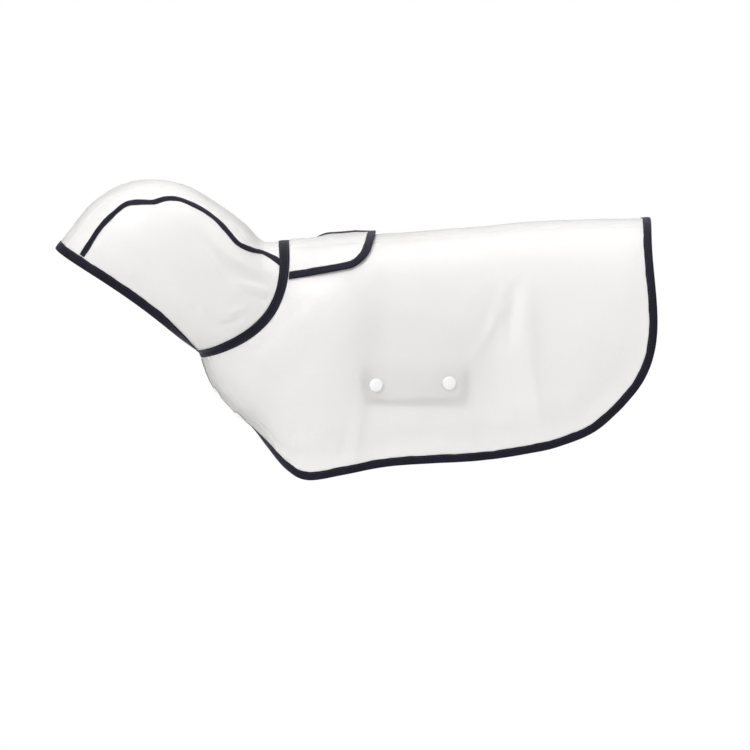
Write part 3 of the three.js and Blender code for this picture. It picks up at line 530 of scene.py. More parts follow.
def shell(name, points, normals, material, keep=None):
    """A thin closed wall on a grid of points; keep marks the grid's faces that are there."""
    rows, count = points.shape[:2]
    keep = np.ones((rows - 1, count - 1), bool) if keep is None else keep
    index = np.arange(rows * count).reshape(rows, count)
    quads = np.stack([index[:-1, :-1], index[1:, :-1], index[1:, 1:], index[:-1, 1:]], -1)[keep]
    under = rows * count
    sides = np.concatenate([quads[:, [i, (i + 1) % 4]] for i in range(4)])
    keys = np.sort(sides, axis=1)
    _, first, uses = np.unique(keys[:, 0] * under + keys[:, 1], return_index=True, return_counts=True)
    rim = sides[first[uses == 1]]
    walls = np.stack([rim[:, 1], rim[:, 0], rim[:, 0] + under, rim[:, 1] + under], -1)
    faces = np.concatenate([quads, quads[:, ::-1] + under, walls])
    flat = points.reshape(-1, 3)
    lift = normals.reshape(-1, 3) * FILM / 2
    both = np.concatenate([flat + lift, flat - lift])
    used = np.unique(faces)
    renumber = np.zeros(len(both), int)
    renumber[used] = np.arange(len(used))
    return make_object(name, both[used], renumber[faces].tolist(), material)


def tube_faces(start, count, sides, loop=False):
    """Faces through a tube's rings, with both ends closed unless it is a loop."""
    faces = []
    for i in range(count if loop else count - 1):
        one, two = start + i * sides, start + ((i + 1) % count) * sides
        for j in range(sides):
            k = (j + 1) % sides
            faces.append((one + j, two + j, two + k, one + k))
    if not loop:
        last = start + (count - 1) * sides
        faces += [tuple(range(start, start + sides)), tuple(reversed(range(last, last + sides)))]
    return faces


def sweep(name, rings, lengths, loop=False):
    """A closed tube of tape through rings of points, with u along it and v round it."""
    count, sides = rings.shape[:2]
    across = run_length(rings[count // 2])
    uv = np.stack(np.broadcast_arrays(lengths[:, None], across[None, :]), -1).reshape(-1, 2) * MM
    return outward(make_object(name, rings.reshape(-1, 3), tube_faces(0, count, sides, loop), navy, uv=uv))


def outward(obj):
    """Turns a closed mesh's faces out."""
    work = bmesh.new()
    work.from_mesh(obj.data)
    bmesh.ops.recalc_face_normals(work, faces=work.faces)
    work.to_mesh(obj.data)
    work.free()
    return obj


def spaced(line, pitch):
    """Places at even steps along a line of points, as (segment, share)."""
    steps = np.linalg.norm(np.diff(line, axis=0), axis=1)
    run = np.concatenate([[0], np.cumsum(steps)])
    marks = np.arange(pitch / 2, run[-1] - pitch / 2, pitch)
    segment = np.clip(np.searchsorted(run, marks) - 1, 0, len(steps) - 1)
    return segment, (marks - run[segment]) / np.maximum(steps[segment], 1e-6)


STITCH_SIDES = 6
STITCH_PROFILE = [(-0.5, 0.35), (-0.32, 1.0), (0.0, 1.12), (0.32, 1.0), (0.5, 0.35)]


def stitches(name, lines):
    """Short raised stitches along lines of (points, normals), as one mesh."""
    points, faces = [], []
    for line, normals in lines:
        segment, share = spaced(line, STITCH_PITCH)
        centre = mix(line[segment], line[segment + 1], share[:, None])
        normal = unit(mix(normals[segment], normals[segment + 1], share[:, None]))
        ahead = unit(line[segment + 1] - line[segment])
        side = unit(np.cross(normal, ahead))
        for c, n, a, s in zip(centre, normal, ahead, side):
            faces += tube_faces(len(points), len(STITCH_PROFILE), STITCH_SIDES)
            for place, size in STITCH_PROFILE:
                for i in range(STITCH_SIDES):
                    turn = 2 * math.pi * i / STITCH_SIDES
                    ring = (math.cos(turn) * s + math.sin(turn) * n) * THREAD_RADIUS * size
                    points.append(c + a * place * STITCH_LENGTH + ring)
    return outward(make_object(name, np.array(points), faces, thread))


# Bindings. A section's places are (share of the width into the cloth, lift as a share of the outer lift)
INNER_LIFT = FILM / 2 + TAPE_CLEARANCE
OUTER_LIFT = INNER_LIFT + TAPE
STITCH_INSET = 1.3
CHANNEL_TOP = [(1.0, 0.72), (0.93, 0.95), (0.82, 0.8), (0.68, 1.02), (0.4, 1.12), (0.1, 1.05)]
CHANNEL_LIP = [(0.55, 0.8), (0.95, 0.3), (0.95, -0.3), (0.55, -0.8)]
CHANNEL_BED = [(1.0, 1.0), (0.5, 1.0), (0.05, 1.0)]
TAPE_WAVE = 0.3
TAPE_PUCKER = 0.1
PUCKER_FROM, PUCKER_TO = 0.2, 0.9
CHANNEL_STITCH_SEAT = 0.86
BAND_STITCH_SEAT = 0.88
BAND_STITCH_SHARE = 0.72


def inward(surface, at, degrees, turn):
    point, normal = surface(at, degrees)
    run = smooth_along(unit(np.gradient(point, axis=0)), RUN_PASSES)
    return point, normal, unit(np.cross(normal, run)) * turn


def channel_rings(placed, lip, pucker):
    """A folded tape's rings: top, round the edge, underside, and the bed on both faces of the cloth."""
    plain = np.ones(len(pucker))

    def face(side):
        return [placed(share, side * OUTER_LIFT * k * (pucker if PUCKER_FROM < share < PUCKER_TO else plain))
                for share, k in CHANNEL_TOP]

    def bed(side):
        return [placed(share, side * INNER_LIFT * k * plain) for share, k in CHANNEL_BED]

    nose = [lip(reach, plain * OUTER_LIFT * k) for reach, k in CHANNEL_LIP]
    return np.stack(face(1) + nose + face(-1)[::-1] + bed(-1) + bed(1)[::-1], axis=1)


def channel(name, surface, course, turn, width, seed):
    """Binding folded over an edge, with a stitch line on each side of it."""
    at, degrees, by_row = course
    edge, normal, into = inward(surface, at, degrees, turn)
    length = run_length(edge)
    width = width + TAPE_WAVE * ripple(length, seed) * np.minimum(width / EDGE_TAPE_WIDTH, 1)
    pucker = 1 + TAPE_PUCKER * ripple(length, seed + 1, PUCKER_WAVES)
    cache = {}

    def at_depth(share):
        key = round(share, 4)
        if key not in cache:
            cache[key] = settled(surface, at, degrees, by_row, edge, normal, into, width * share)
        return cache[key]

    def placed(share, lift):
        point, lean = at_depth(share)
        return point + lean * lift[:, None]

    def lip(reach, lift):
        return edge - into * (TAPE * reach) + normal * lift[:, None]

    tape = sweep(name, channel_rings(placed, lip, pucker), length)
    point, lean = at_depth(1 - STITCH_INSET / EDGE_TAPE_WIDTH)
    seat = OUTER_LIFT * CHANNEL_STITCH_SEAT
    lines = [(point + lean * seat, lean), (point - lean * seat, -lean)]
    return tape, stitches(name + "_stitches", lines)


BAND_TOP = [(-1.0, 0.7), (-0.92, 0.97), (-0.72, 0.84), (-0.5, 1.04), (0.0, 1.12), (0.5, 1.04), (0.72, 0.84),
            (0.92, 0.97), (1.0, 0.7)]
BAND_BED = [(1.0, 1.0), (0.0, 1.0), (-1.0, 1.0)]


def band(name, places, seed):
    """Flat tape over a seam; places(share) gives the points and normals at a share of its half width."""
    length = run_length(places(0.0)[0])
    pucker = 1 + TAPE_PUCKER * ripple(length, seed, PUCKER_WAVES)
    plain = np.ones(len(length))
    rings, lines = [], []
    for share, k in BAND_TOP:
        point, normal = places(share)
        lift = OUTER_LIFT * k * (pucker if abs(share) < PUCKER_TO else plain)
        rings.append(point + normal * lift[:, None])
    for share, k in BAND_BED:
        point, normal = places(share)
        rings.append(point + normal * INNER_LIFT * k)
    tape = sweep(name, np.stack(rings, axis=1), length)
    for share in (-BAND_STITCH_SHARE, BAND_STITCH_SHARE):
        point, normal = places(share)
        lines.append((point + normal * OUTER_LIFT * BAND_STITCH_SEAT, normal))
    return tape, stitches(name + "_stitches", lines)


# Materials
def nodes_of(name):
    material = bpy.data.materials.new(name)
    material.use_nodes = True
    material.node_tree.nodes.clear()
    return material, material.node_tree


def add_node(tree, kind, inputs=None, **settings):
    node = tree.nodes.new(kind)
    for key, value in settings.items():
        setattr(node, key, value)
    for key, value in (inputs or {}).items():
        node.inputs[key].default_value = value
    return node


def noise(tree, place, scale, detail, roughness=0.5):
    node = add_node(tree, "ShaderNodeTexNoise", {"Scale": scale, "Detail": detail, "Roughness": roughness})
    tree.links.new(place.outputs["Object"], node.inputs["Vector"])
    return node.outputs["Fac"]


def bump(tree, height, strength, distance):
    node = add_node(tree, "ShaderNodeBump", {"Strength": strength, "Distance": distance})
    tree.links.new(height, node.inputs["Height"])
    return node


def mixed(tree, one, two, share):
    node = add_node(tree, "ShaderNodeMixShader", {"Fac": share})
    tree.links.new(one.outputs[0], node.inputs[1])
    tree.links.new(two.outputs[0], node.inputs[2])
    return node


def surface_of(tree, shader):
    output = add_node(tree, "ShaderNodeOutputMaterial")
    tree.links.new(shader.outputs[0], output.inputs["Surface"])


MILKY_SHARE = 0.25
BLUR_SHARE = 0.32


def film_material(name, white):
    """Frosted film: milky, with a satin sheen and fine crinkles, and things behind it blur with distance."""
    material, tree = nodes_of(name)
    link = tree.links.new
    place = add_node(tree, "ShaderNodeTexCoord")
    crinkle = bump(tree, noise(tree, place, 38.0, 3.0), 0.35, 0.004)
    grain = bump(tree, noise(tree, place, 420.0, 2.0, 0.6), 0.12, 0.0004)
    link(crinkle.outputs["Normal"], grain.inputs["Normal"])
    skin = add_node(tree, "ShaderNodeBsdfPrincipled",
                    {"Base Color": (white, white * 0.99, white * 0.98, 1), "Roughness": 0.34, "IOR": 1.45})
    through = add_node(tree, "ShaderNodeBsdfTranslucent", {"Color": (0.95, 0.94, 0.93, 1)})
    blur = add_node(tree, "ShaderNodeBsdfRefraction", {"Color": (1, 1, 1, 1), "Roughness": 0.6, "IOR": 1.12})
    link(grain.outputs["Normal"], skin.inputs["Normal"])
    surface_of(tree, mixed(tree, mixed(tree, skin, through, MILKY_SHARE), blur, BLUR_SHARE))
    return material


WEAVE_SCALE = 300.0
DARK_TAPE = (0.3, (0.0012, 0.0010, 0.0065, 1))
PALE_TAPE = (0.75, (0.0050, 0.0040, 0.0170, 1))


def tape_material():
    """Dark navy woven tape with a fine twill and a slight sheen."""
    material, tree = nodes_of("navy_tape")
    link = tree.links.new
    place = add_node(tree, "ShaderNodeTexCoord")
    turned = add_node(tree, "ShaderNodeMapping", {"Rotation": (0, 0, math.radians(45))})
    link(place.outputs["UV"], turned.inputs["Vector"])
    yarns = {"Scale": WEAVE_SCALE, "Distortion": 0.6, "Detail": 1.0}
    warp, weft = [add_node(tree, "ShaderNodeTexWave", yarns, bands_direction=way) for way in "XY"]
    link(turned.outputs["Vector"], warp.inputs["Vector"])
    link(turned.outputs["Vector"], weft.inputs["Vector"])
    weave = add_node(tree, "ShaderNodeMath", operation="ADD")
    link(warp.outputs["Fac"], weave.inputs[0])
    link(weft.outputs["Fac"], weave.inputs[1])
    twill = bump(tree, weave.outputs[0], 0.5, 0.0003)
    worn = noise(tree, place, 60.0, 4.0)
    shade = add_node(tree, "ShaderNodeValToRGB")
    for element, (position, color) in zip(shade.color_ramp.elements, (DARK_TAPE, PALE_TAPE)):
        element.position = position
        element.color = color
    link(worn, shade.inputs["Fac"])
    skin = add_node(tree, "ShaderNodeBsdfPrincipled",
                    {"Roughness": 0.55, "Specular IOR Level": 0.2, "Sheen Weight": 0.03,
                     "Sheen Roughness": 0.4, "Sheen Tint": (0.5, 0.45, 0.75, 1)})
    link(shade.outputs["Color"], skin.inputs["Base Color"])
    link(twill.outputs["Normal"], skin.inputs["Normal"])
    surface_of(tree, skin)
    return material


def plain_material(name, color, roughness, noise_scale, bump_depth):
    material, tree = nodes_of(name)
    grain = bump(tree, noise(tree, add_node(tree, "ShaderNodeTexCoord"), noise_scale, 3.0), 0.2, bump_depth)
    skin = add_node(tree, "ShaderNodeBsdfPrincipled", {"Base Color": color, "Roughness": roughness})
    tree.links.new(grain.outputs["Normal"], skin.inputs["Normal"])
    surface_of(tree, skin)
    return material


# The flap and strap are the same film as the body. Their whiter base colour is painted light that makes them
# read brighter than their own shading leaves them.
FILM_WHITE, PAINTED_LIGHT_FILM_WHITE = 0.9, 0.95
film = film_material("frosted_film", FILM_WHITE)
painted_lighter_film = film_material("frosted_film_painted_lighter", PAINTED_LIGHT_FILM_WHITE)
navy = tape_material()
thread = plain_material("navy_thread", (0.02, 0.018, 0.045, 1), 0.5, 900.0, 0.0002)
plastic = plain_material("snap_plastic", (0.82, 0.825, 0.83, 1), 0.3, 300.0, 0.0003)


def declare(obj, slot, *nodes):
    if nodes:
        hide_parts(*nodes)
    return obj


def declare_binding(pieces, node):
    tape, sewing = pieces
    declare(tape, "binding", node)
    declare(sewing, "binding")


# Body panel
BODY_ROWS = 230
BODY_COLUMNS = 176
SLIT_COVERED = 0.8


def angle_at(at, share):
    rib = read(RIBS, at)
    return mix(-rib["right_turn"], rib["left_turn"], share)


def slit_frame():
    at, degrees = np.array(SLIT_RIB), np.array(SLIT_ANGLE)
    centre, normal = body(at, degrees)
    lengthwise = body_point(at + STEP_ROW, degrees) - centre
    across = unit(np.cross(normal, lengthwise))
    return centre, unit(np.cross(across, normal)), across


def build_body():
    at, share = grid(np.linspace(0, REAR, BODY_ROWS + 1), np.linspace(0, 1, BODY_COLUMNS + 1))
    point, normal = body(at, angle_at(at, share))
    centre, ahead, across = slit_frame()
    middles = (point[:-1, :-1] + point[1:, :-1] + point[1:, 1:] + point[:-1, 1:]) / 4 - centre
    straight = (SLIT_LENGTH - SLIT_WIDTH) / 2
    along = dot(middles, ahead)
    reach = np.hypot(along - np.clip(along, -straight, straight), dot(middles, across))
    near = np.linalg.norm(middles, axis=-1) < SLIT_LENGTH
    keep = ~(near & (reach < SLIT_WIDTH / 2 + SLIT_COVERED))
    panel = declare(shell("film_body", point, normal, film, keep), "film", "body_panel")


# Hood
HOOD_ROWS = 130
SIDE_COLUMNS = 90
STRIP_COLUMNS = 70
HOOD_LEFT_TURN = 183.0
HOOD_RIGHT_TURN = 199.0
SEAM_BLUR = [(-0.15, 0.25), (0, 0.5), (0.15, 0.25)]


def near_seam(at):
    section, angle = NEAR_SEAM[1].T
    offset, weight = np.array(SEAM_BLUR).T
    return np.interp(at[..., None] + offset, section, angle) @ weight


def far_seam(at):
    return -read(HOOD_SECTIONS, at)["far_seam"]


def neck_normal(degrees):
    """The normal that hood and body share along their seam."""
    zero = np.zeros_like(degrees)
    return unit(body(zero, degrees)[1] + hood(zero + NECK, degrees)[1])


def build_hood():
    pieces = [
        ("film_hood_strip", "hood_centre_strip", STRIP_COLUMNS, far_seam, near_seam, (0.1, 0.3), 0.0233),
        ("film_hood_left", "hood_side_left", SIDE_COLUMNS, near_seam,
         lambda at: np.full_like(at, HOOD_LEFT_TURN), (0.15, 0.2), 0.0189),
        ("film_hood_right", "hood_side_right", SIDE_COLUMNS,
         lambda at: np.full_like(at, -HOOD_RIGHT_TURN), far_seam, (0.15, 0.2), 0.0194),
    ]
    for name, node, count, start, end, flat, area in pieces:
        at, share = grid(np.linspace(0, NECK, HOOD_ROWS + 1), np.linspace(0, 1, count + 1))
        point, normal = hood(at, mix(start(at), end(at), share))
        piece = declare(shell(name, point, normal, film), "film", node)


# Bindings of hood and body
COAT_EDGE_START = 0.27
FACE_TAPE_RIGHT_END = -165.0
TAPE_END_ROOM = 0.1
SEAM_PROBE = 0.2
SEAM_WOBBLE = 0.12
THROAT_CLEARANCE = 0.9
NECK_TAPE_CLEARANCE = 1.0
NECK_TAPE_HOOD_LIFT = 0.3
SIDE_STEPS, REAR_STEPS, FACE_STEPS, NECK_STEPS, SEAM_STEPS = 300, 200, 260, 240, 120
SLIT_END_STEPS, SLIT_SIDE_STEPS, SLIT_PASSES = 22, 14, 5


def three_sides(one, end, other):
    """A course of rows, degrees and whether it goes in by row: two sides with an end between them."""
    parts = [one, end, other]
    by_row = [np.full(len(part[0]), part is end) for part in parts]
    return (np.concatenate([part[0] for part in parts]), np.concatenate([part[1] for part in parts]),
            np.concatenate(by_row))


def build_coat_edge():
    rows = np.linspace(COAT_EDGE_START, REAR, SIDE_STEPS)[:-1]
    rib = read(RIBS, rows)
    rear = np.full(REAR_STEPS, REAR)
    course = three_sides((rows, rib["left_turn"]), (rear, angle_at(rear, np.linspace(1, 0, REAR_STEPS))),
                         (rows[::-1], -rib["right_turn"][::-1]))
    declare_binding(channel("tape_coat_edge", body, course, 1, EDGE_TAPE_WIDTH, 11), "coat_edge_binding")


def throat_room(degrees):
    zero = np.zeros_like(degrees)
    across = hood_point(zero, degrees) - hood_point(zero + NECK, degrees)
    return np.linalg.norm(across, axis=-1) - THROAT_CLEARANCE


def build_face_edge():
    degrees = np.linspace(HOOD_LEFT_TURN, FACE_TAPE_RIGHT_END, FACE_STEPS)
    width = np.clip(throat_room(degrees) - NECK_TAPE_HALF, NARROWEST_TAPE, FACE_TAPE_WIDTH)
    course = (np.zeros_like(degrees), degrees, np.ones(FACE_STEPS, bool))
    declare_binding(channel("tape_hood_face", hood, course, -1, width, 21), "hood_face_binding")


def build_neck_seam():
    zero = np.zeros(NECK_STEPS)
    degrees = angle_at(zero, np.linspace(0, 1, NECK_STEPS))
    normal = neck_normal(degrees)
    back = unit(np.cross(normal, np.gradient(body_point(zero, degrees), axis=0)))
    room = np.minimum(NECK_TAPE_HALF, throat_room(degrees) - NARROWEST_TAPE - NECK_TAPE_CLEARANCE)

    def places(share):
        if share == 0:
            return body_point(zero, degrees), normal
        if share < 0:
            point, lean = walk(hood, zero + NECK, degrees, -back, room * -share)
            return point + lean * NECK_TAPE_HOOD_LIFT * -share, lean
        return walk(body, zero, degrees, back, np.full_like(degrees, NECK_TAPE_HALF * share))

    declare_binding(band("tape_neck_seam", places, 31), "neck_seam_binding")


def build_hood_seams():
    for name, node, pick, seed in (("tape_hood_seam_left", "hood_seam_binding_left", near_seam, 41),
                                   ("tape_hood_seam_right", "hood_seam_binding_right", far_seam, 51)):
        ends = np.array([SEAM_PROBE, NECK - SEAM_PROBE])
        span = np.linalg.norm(hood_point(ends + STEP_ROW, pick(ends + STEP_ROW))
                              - hood_point(ends - STEP_ROW, pick(ends - STEP_ROW)), axis=-1) / (2 * STEP_ROW)
        first = (FACE_TAPE_WIDTH + TAPE_END_ROOM) / span[0]
        last = NECK - (NECK_TAPE_HALF + TAPE_END_ROOM) / span[1]
        at = np.linspace(first, last, SEAM_STEPS)
        degrees = pick(at)
        seam, normal = hood(at, degrees)
        across = unit(np.cross(normal, np.gradient(seam, axis=0)))
        half = HOOD_TAPE_HALF * (1 + SEAM_WOBBLE * ripple(run_length(seam), seed))

        def places(share):
            return (seam, normal) if share == 0 else walk(hood, at, degrees, across, -half * share)

        declare_binding(band(name, places, seed + 1), node)


def build_slit():
    centre, ahead, across = slit_frame()
    normal = unit(np.cross(ahead, across))
    straight = (SLIT_LENGTH - SLIT_WIDTH) / 2
    turns = np.linspace(-math.pi / 2, math.pi / 2, SLIT_END_STEPS)
    radius = SLIT_WIDTH / 2
    ends = [np.stack([side * (straight + radius * np.cos(turns)), side * radius * np.sin(turns)], -1)
            for side in (1, -1)]
    between = np.linspace(0, 1, SLIT_SIDE_STEPS)[1:-1, None]
    corners = np.concatenate([ends[0], mix(ends[0][-1], ends[1][0], between),
                              ends[1], mix(ends[1][-1], ends[0][0], between)])

    def drop(offset):
        """Body places below or above points given in the slit's own plane."""
        goal = centre + offset[:, :1] * ahead + offset[:, 1:] * across
        at, degrees = np.full(len(goal), SLIT_RIB), np.full(len(goal), SLIT_ANGLE)
        for _ in range(SLIT_PASSES):
            here, row, around = slopes_ahead(body_point, at, degrees)
            more_rows, more_degrees = grid_step(row, around, goal - here)
            at, degrees = at + more_rows, degrees + more_degrees
        return body(at, degrees)

    hub = np.stack([np.clip(corners[:, 0], -straight, straight), np.zeros(len(corners))], -1)
    out = unit(corners - hub)
    out_space = out[:, :1] * ahead + out[:, 1:] * across
    edge, _ = drop(corners)

    def placed(share, lift):
        point, lean = drop(corners + out * SLIT_TAPE_WIDTH * share)
        return point + lean * lift[:, None]

    def lip(reach, lift):
        return edge - out_space * TAPE * reach + normal * lift[:, None]

    rings = channel_rings(placed, lip, np.ones(len(corners)))
    declare(sweep("tape_leash_slit", rings, run_length(edge), loop=True), "binding", "leash_slit_binding")


# Leash flap
def flap_angle(at, across):
    return mix(FLAP_FAR_ANGLE, FLAP_NEAR_ANGLE - FLAP_NEAR_TAPER * at, (across + 1) / 2)


def flap_point(share, across):
    share, across = paired(share, across)
    zero = np.zeros_like(share)
    front = flap_angle(zero, across)
    step = body_base(zero + FLAP_FRONT_ROWS, front) - body_base(zero, front)
    rate = np.linalg.norm(step, axis=-1) / FLAP_FRONT_ROWS
    at = mix(FLAP_FRONT_GAP / rate, FLAP_LAST_RIB, share)
    place, normal = body(at, flap_angle(at, across))
    sag = 1 - FLAP_RISE_SAG * np.abs(across)
    rise = FLAP_RISE * ease((share - FLAP_RISE_START) / FLAP_RISE_LENGTH) * sag
    far = np.clip((FLAP_LIFT_ACROSS - across) / (1 + FLAP_LIFT_ACROSS), 0, 1) ** FLAP_LIFT_POWER
    spring = FLAP_FAR_LIFT * ease((share - FLAP_LIFT_START) / FLAP_LIFT_LENGTH) * far
    return place + normal * (FLAP_SEAT + rise + spring)[..., None]


ACROSS_GRID = even(-1.12, 1.12, 0.04)
flap = sampled(flap_point, even(-0.06, 1.06, 0.02), ACROSS_GRID)


def flap_end(across):
    t = np.clip((np.abs(across) - FLAP_CORNER_START) / (1 - FLAP_CORNER_START), 0, 1)
    return 1 - (FLAP_CORNER / FLAP_LENGTH) * (1 - np.sqrt(1 - t * t))


FLAP_BINDING_START = 0.02
ROUND_SHARES = np.sin(np.linspace(-math.pi / 2, math.pi / 2, 49))
FLAP_ROWS, FLAP_SIDE_STEPS = 41, 40

# Grid units of flap and strap, so that a step on them is of the same size as one on the body
FLAP_UNITS = (0.2, 0.02)
STRAP_UNITS = (1.0, 0.02)


def scaled_channel(name, surface, units, course, seed):
    """Binding round a piece whose grid has other units than the body's."""
    row_unit, angle_unit = units
    at, degrees, by_row = course
    return channel(name, lambda row, angle: surface(row * row_unit, angle * angle_unit),
                   (at / row_unit, degrees / angle_unit, by_row), 1, EDGE_TAPE_WIDTH, seed)


def build_flap():
    share, across = grid(np.linspace(0, 1, FLAP_ROWS), ROUND_SHARES)
    point, normal = flap(share * flap_end(across), across)
    # The flap's film has a whiter base colour than the body's, as painted light.
    piece = declare(shell("film_flap", point, normal, painted_lighter_film), "film", "leash_flap")
    sides = np.linspace(FLAP_BINDING_START, float(flap_end(np.array(1.0))), FLAP_SIDE_STEPS)[:-1]
    near, round_end = np.ones(len(sides)), ROUND_SHARES[::-1]
    course = three_sides((sides, near), (flap_end(round_end), round_end), (sides[::-1], -near))
    declare_binding(scaled_channel("tape_flap_edge", flap, FLAP_UNITS, course, 61), "leash_flap_binding")


# Belly strap
GUESS_ROW, GUESS_PITCH, GUESS_ANGLE = 7.0, 22.0, 70.0
LONGEST_ROW, LONGEST_ANGLE = 1.5, 20
PANEL_PASSES = 10
STRAP_ROWS, STRAP_SIDE_STEPS = 161, 150


def panel_at(x, z, side):
    """The body place that lies at (x, z) in side view."""
    at, degrees = GUESS_ROW + x / GUESS_PITCH, side * GUESS_ANGLE + 0 * x
    for _ in range(PANEL_PASSES):
        here, row, around = slopes_ahead(body_base, at, degrees)
        miss_x, miss_z = x - here[..., 0], z - here[..., 2]
        determinant = row[..., 0] * around[..., 2] - row[..., 2] * around[..., 0]
        more_rows = (miss_x * around[..., 2] - miss_z * around[..., 0]) / determinant
        more_degrees = (row[..., 0] * miss_z - row[..., 2] * miss_x) / determinant
        at = at + np.clip(more_rows, -LONGEST_ROW, LONGEST_ROW)
        degrees = degrees + np.clip(more_degrees, -LONGEST_ANGLE, LONGEST_ANGLE)
    return at, degrees


def strap_point(at, across):
    course = read(STRAP_COURSE, at)
    x = STRAP_MIDDLE_X + STRAP_HALF * across
    side = np.where(course["y"] < 0, 1.0, -1.0)
    panel = body_point(*panel_at(x, course["z"], side))
    reach = (np.abs(panel[..., 1]) - STRAP_SPACE) / STRAP_REACH
    return np.stack([x, course["y"] * reach, course["z"]], -1)


strap = sampled(strap_point, even(-0.4, STRAP_LAST + 0.4, 0.1), ACROSS_GRID)


def strap_start(across):
    corner = 1 - STRAP_CORNER / STRAP_HALF
    t = np.clip((np.abs(across) - corner) / (1 - corner), 0, 1)
    return (STRAP_CORNER / STRAP_STEP) * (1 - np.sqrt(1 - t * t))


def strap_row(across, row):
    return np.where(row >= STRAP_SQUARE, row, mix(strap_start(across), STRAP_SQUARE, row / STRAP_SQUARE))


def build_strap():
    row, across = grid(np.linspace(0, STRAP_LAST, STRAP_ROWS), ROUND_SHARES)
    point, normal = strap(strap_row(across, row), across)
    # The strap's film has a whiter base colour than the body's, as painted light.
    piece = declare(shell("film_strap", point, normal, painted_lighter_film), "film", "belly_strap")
    sides = np.linspace(float(strap_start(np.array(1.0))), STRAP_LAST, STRAP_SIDE_STEPS)[1:]
    near = np.ones(len(sides))
    course = three_sides((sides[::-1], -near), (strap_start(ROUND_SHARES), ROUND_SHARES), (sides, near))
    declare_binding(scaled_channel("tape_strap_edge", strap, STRAP_UNITS, course, 71), "belly_strap_binding")


# Snaps
SNAP_SIDES = 48
OFF_AXIS = (0.3, 0.1, 0.9)
CAP_PROFILE = [(0, 0), (0.97, 0), (1.0, 0.12), (1.0, 0.3), (0.96, 0.5), (0.88, 0.7), (0.72, 0.87),
               (0.5, 0.96), (0.25, 1.0), (0, 1.0)]
DISC_PROFILE = [(0, 0), (0.96, 0), (1.0, 0.15), (1.0, 0.85), (0.96, 1.0), (0.62, 1.0), (0.58, 0.8), (0, 0.8)]


def lathe(name, profile, radius, height, origin, axis, node):
    side = unit(np.cross(axis, OFF_AXIS))
    other = np.cross(axis, side)
    turns = np.linspace(0, 2 * math.pi, SNAP_SIDES, endpoint=False)
    points, rings = [], []
    for r, h in profile:
        start = len(points)
        middle = origin + axis * h * height
        if r == 0:
            points.append(middle)
            rings.append([start] * SNAP_SIDES)
            continue
        for t in turns:
            points.append(middle + (side * math.cos(t) + other * math.sin(t)) * r * radius)
        rings.append(list(range(start, start + SNAP_SIDES)))
    faces = []
    for low, high in zip(rings, rings[1:]):
        for i in range(SNAP_SIDES):
            j = (i + 1) % SNAP_SIDES
            faces.append(tuple(dict.fromkeys([low[i], low[j], high[j], high[i]])))
    declare(outward(make_object(name, np.array(points), faces, plastic)), "snap", node)


def build_snap(name, panel, panel_normal, under, under_normal, seats):
    cap_seat, seat, play = seats
    space = float(dot(panel - under, panel_normal))
    lathe(f"{name}_cap_form", CAP_PROFILE, CAP_RADIUS, CAP_HEIGHT, panel + panel_normal * cap_seat,
          panel_normal, f"{name}_cap")
    lathe(f"{name}_socket_form", DISC_PROFILE, SOCKET_RADIUS, space - 2 * seat - play,
          panel - panel_normal * seat, -panel_normal, f"{name}_socket")
    below = -under_normal * np.sign(dot(under_normal, panel_normal))
    lathe(f"{name}_back_form", CAP_PROFILE, SOCKET_RADIUS, CAP_HEIGHT, under + below * seat, below,
          f"{name}_back")


def build_snaps():
    for i, (x, z) in enumerate(STRAP_SNAPS):
        panel, normal = body(*panel_at(np.array(x), np.array(z), 1.0))
        course = (STRAP_COURSE[1][0][1] - z) / -STRAP_STEP
        under, under_normal = strap(np.array(course), np.array((x - STRAP_MIDDLE_X) / STRAP_HALF))
        build_snap(f"strap_snap_{i + 1}", panel, normal, under, under_normal, STRAP_SNAP_SEATS)
    for i, (rib, angle) in enumerate(CHEST_SNAPS):
        panel, normal = body(np.array(rib), np.array(angle))
        points, normals = body(*grid(np.linspace(rib - LAPPED_ROWS, rib + LAPPED_ROWS, 81),
                                     np.linspace(*LAPPED_ANGLES, 86)))
        offset = points - panel
        away = np.linalg.norm(offset - normal * dot(offset, normal)[..., None], axis=-1)
        best = np.unravel_index(np.argmin(away), away.shape)
        build_snap(f"chest_snap_{i + 1}", panel, normal, points[best], normals[best], CHEST_SNAP_SEATS)


# Studio
FLOOR_Z = -330.0
FLOOR_HALF = 12000.0
SWEEP_START = 1600.0
SWEEP_RADIUS = 900.0
WALL_HEIGHT = 2600.0
SWEEP_STEPS = 24
PAPER_WHITE = 0.93
LIGHTS = [
    ("top_softbox", (-100, 0, 1900), (1600, 1200), 23),
    ("key_softbox", (-1100, -900, 1100), (700, 700), 17),
    ("fill_softbox", (1700, -1100, 500), (1200, 1200), 9),
    ("rear_softbox", (300, 1400, 1200), (1600, 1200), 6),
]
WORLD_STRENGTH = 0.42


def white_to_camera(tree, seen, lit, output):
    """The camera's own rays see pure white, and all other rays the lit shader."""
    shown = mixed(tree, lit, seen, 0)
    tree.links.new(add_node(tree, "ShaderNodeLightPath").outputs["Is Camera Ray"], shown.inputs["Fac"])
    tree.links.new(shown.outputs[0], add_node(tree, output).inputs["Surface"])


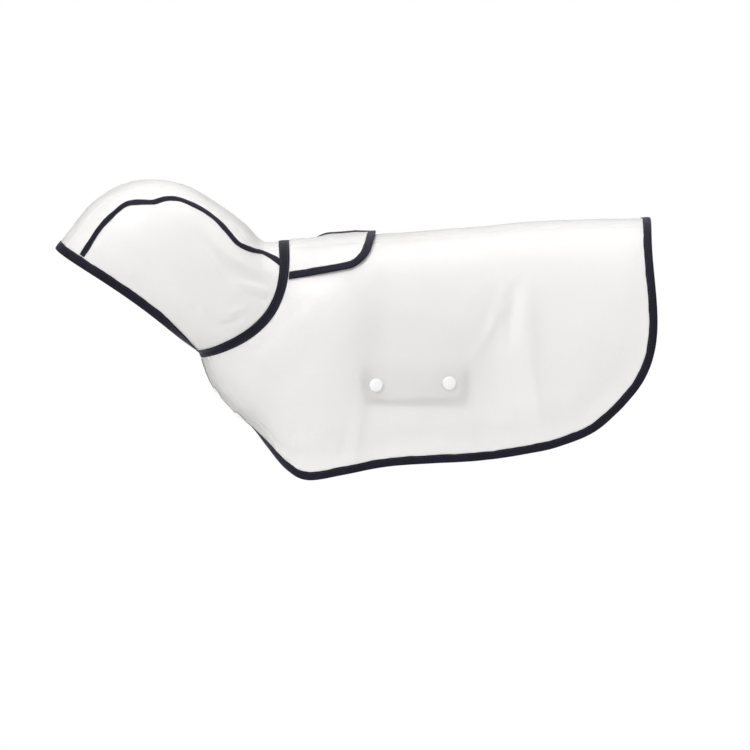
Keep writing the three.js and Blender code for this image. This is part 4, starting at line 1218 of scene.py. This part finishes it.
def build_studio():
    profile = [(-FLOOR_HALF, FLOOR_Z), (SWEEP_START, FLOOR_Z)]
    for i in range(1, SWEEP_STEPS + 1):
        turn = math.pi / 2 * i / SWEEP_STEPS
        profile.append((SWEEP_START + SWEEP_RADIUS * math.sin(turn),
                        FLOOR_Z + SWEEP_RADIUS * (1 - math.cos(turn))))
    profile.append((SWEEP_START + SWEEP_RADIUS, FLOOR_Z + WALL_HEIGHT))
    points, faces = [], []
    for y, z in profile:
        points += [(-FLOOR_HALF, y, z), (FLOOR_HALF, y, z)]
    for i in range(len(profile) - 1):
        faces.append((2 * i, 2 * i + 1, 2 * i + 3, 2 * i + 2))
    material, tree = nodes_of("studio_paper")
    skin = add_node(tree, "ShaderNodeBsdfDiffuse", {"Color": (PAPER_WHITE, PAPER_WHITE, PAPER_WHITE, 1)})
    white = add_node(tree, "ShaderNodeEmission", {"Color": (1, 1, 1, 1), "Strength": 1.0})
    white_to_camera(tree, white, skin, "ShaderNodeOutputMaterial")
    mesh_object("studio_sweep", points, faces, material)


def add_light(name, place, size, power):
    light = bpy.data.lights.new(name, "AREA")
    light.shape = "RECTANGLE"
    light.size, light.size_y = size[0] * MM, size[1] * MM
    light.energy = power
    obj = linked(name, light)
    obj.location = Vector(place) * MM
    obj.rotation_euler = (Vector(CAMERA_AIM) - Vector(place)).to_track_quat("-Z", "Y").to_euler()


def build_lights():
    for row in LIGHTS:
        add_light(*row)
    world = bpy.data.worlds.new("studio_world")
    world.use_nodes = True
    tree = world.node_tree
    tree.nodes.clear()
    light = add_node(tree, "ShaderNodeBackground", {"Color": (1, 1, 1, 1), "Strength": WORLD_STRENGTH})
    white = add_node(tree, "ShaderNodeBackground", {"Color": (1, 1, 1, 1), "Strength": 1.0})
    white_to_camera(tree, white, light, "ShaderNodeOutputWorld")
    bpy.context.scene.world = world


def build_camera():
    camera = bpy.data.cameras.new("camera")
    camera.sensor_width = SENSOR_WIDTH
    camera.lens = SENSOR_WIDTH * CAMERA_DISTANCE / FRAME_WIDTH
    camera.clip_end = CAMERA_REACH
    obj = linked("camera", camera)
    tilt = math.radians(CAMERA_ELEVATION)
    aim = Vector(CAMERA_AIM)
    obj.location = (aim + Vector((0, -math.cos(tilt), math.sin(tilt))) * CAMERA_DISTANCE) * MM
    obj.rotation_euler = (math.pi / 2 - tilt, 0, 0)
    bpy.context.scene.camera = obj


build_camera()
build_studio()
build_lights()
build_body()
build_hood()
build_coat_edge()
build_face_edge()
build_neck_seam()
build_hood_seams()
build_slit()
build_flap()
build_strap()
build_snaps()

scene = bpy.context.scene
scene.view_settings.view_transform = "Standard"
scene.cycles.transparent_max_bounces = 24
scene.cycles.max_bounces = 16
scene.cycles.transmission_bounces = 16
scene.cycles.use_denoising = True
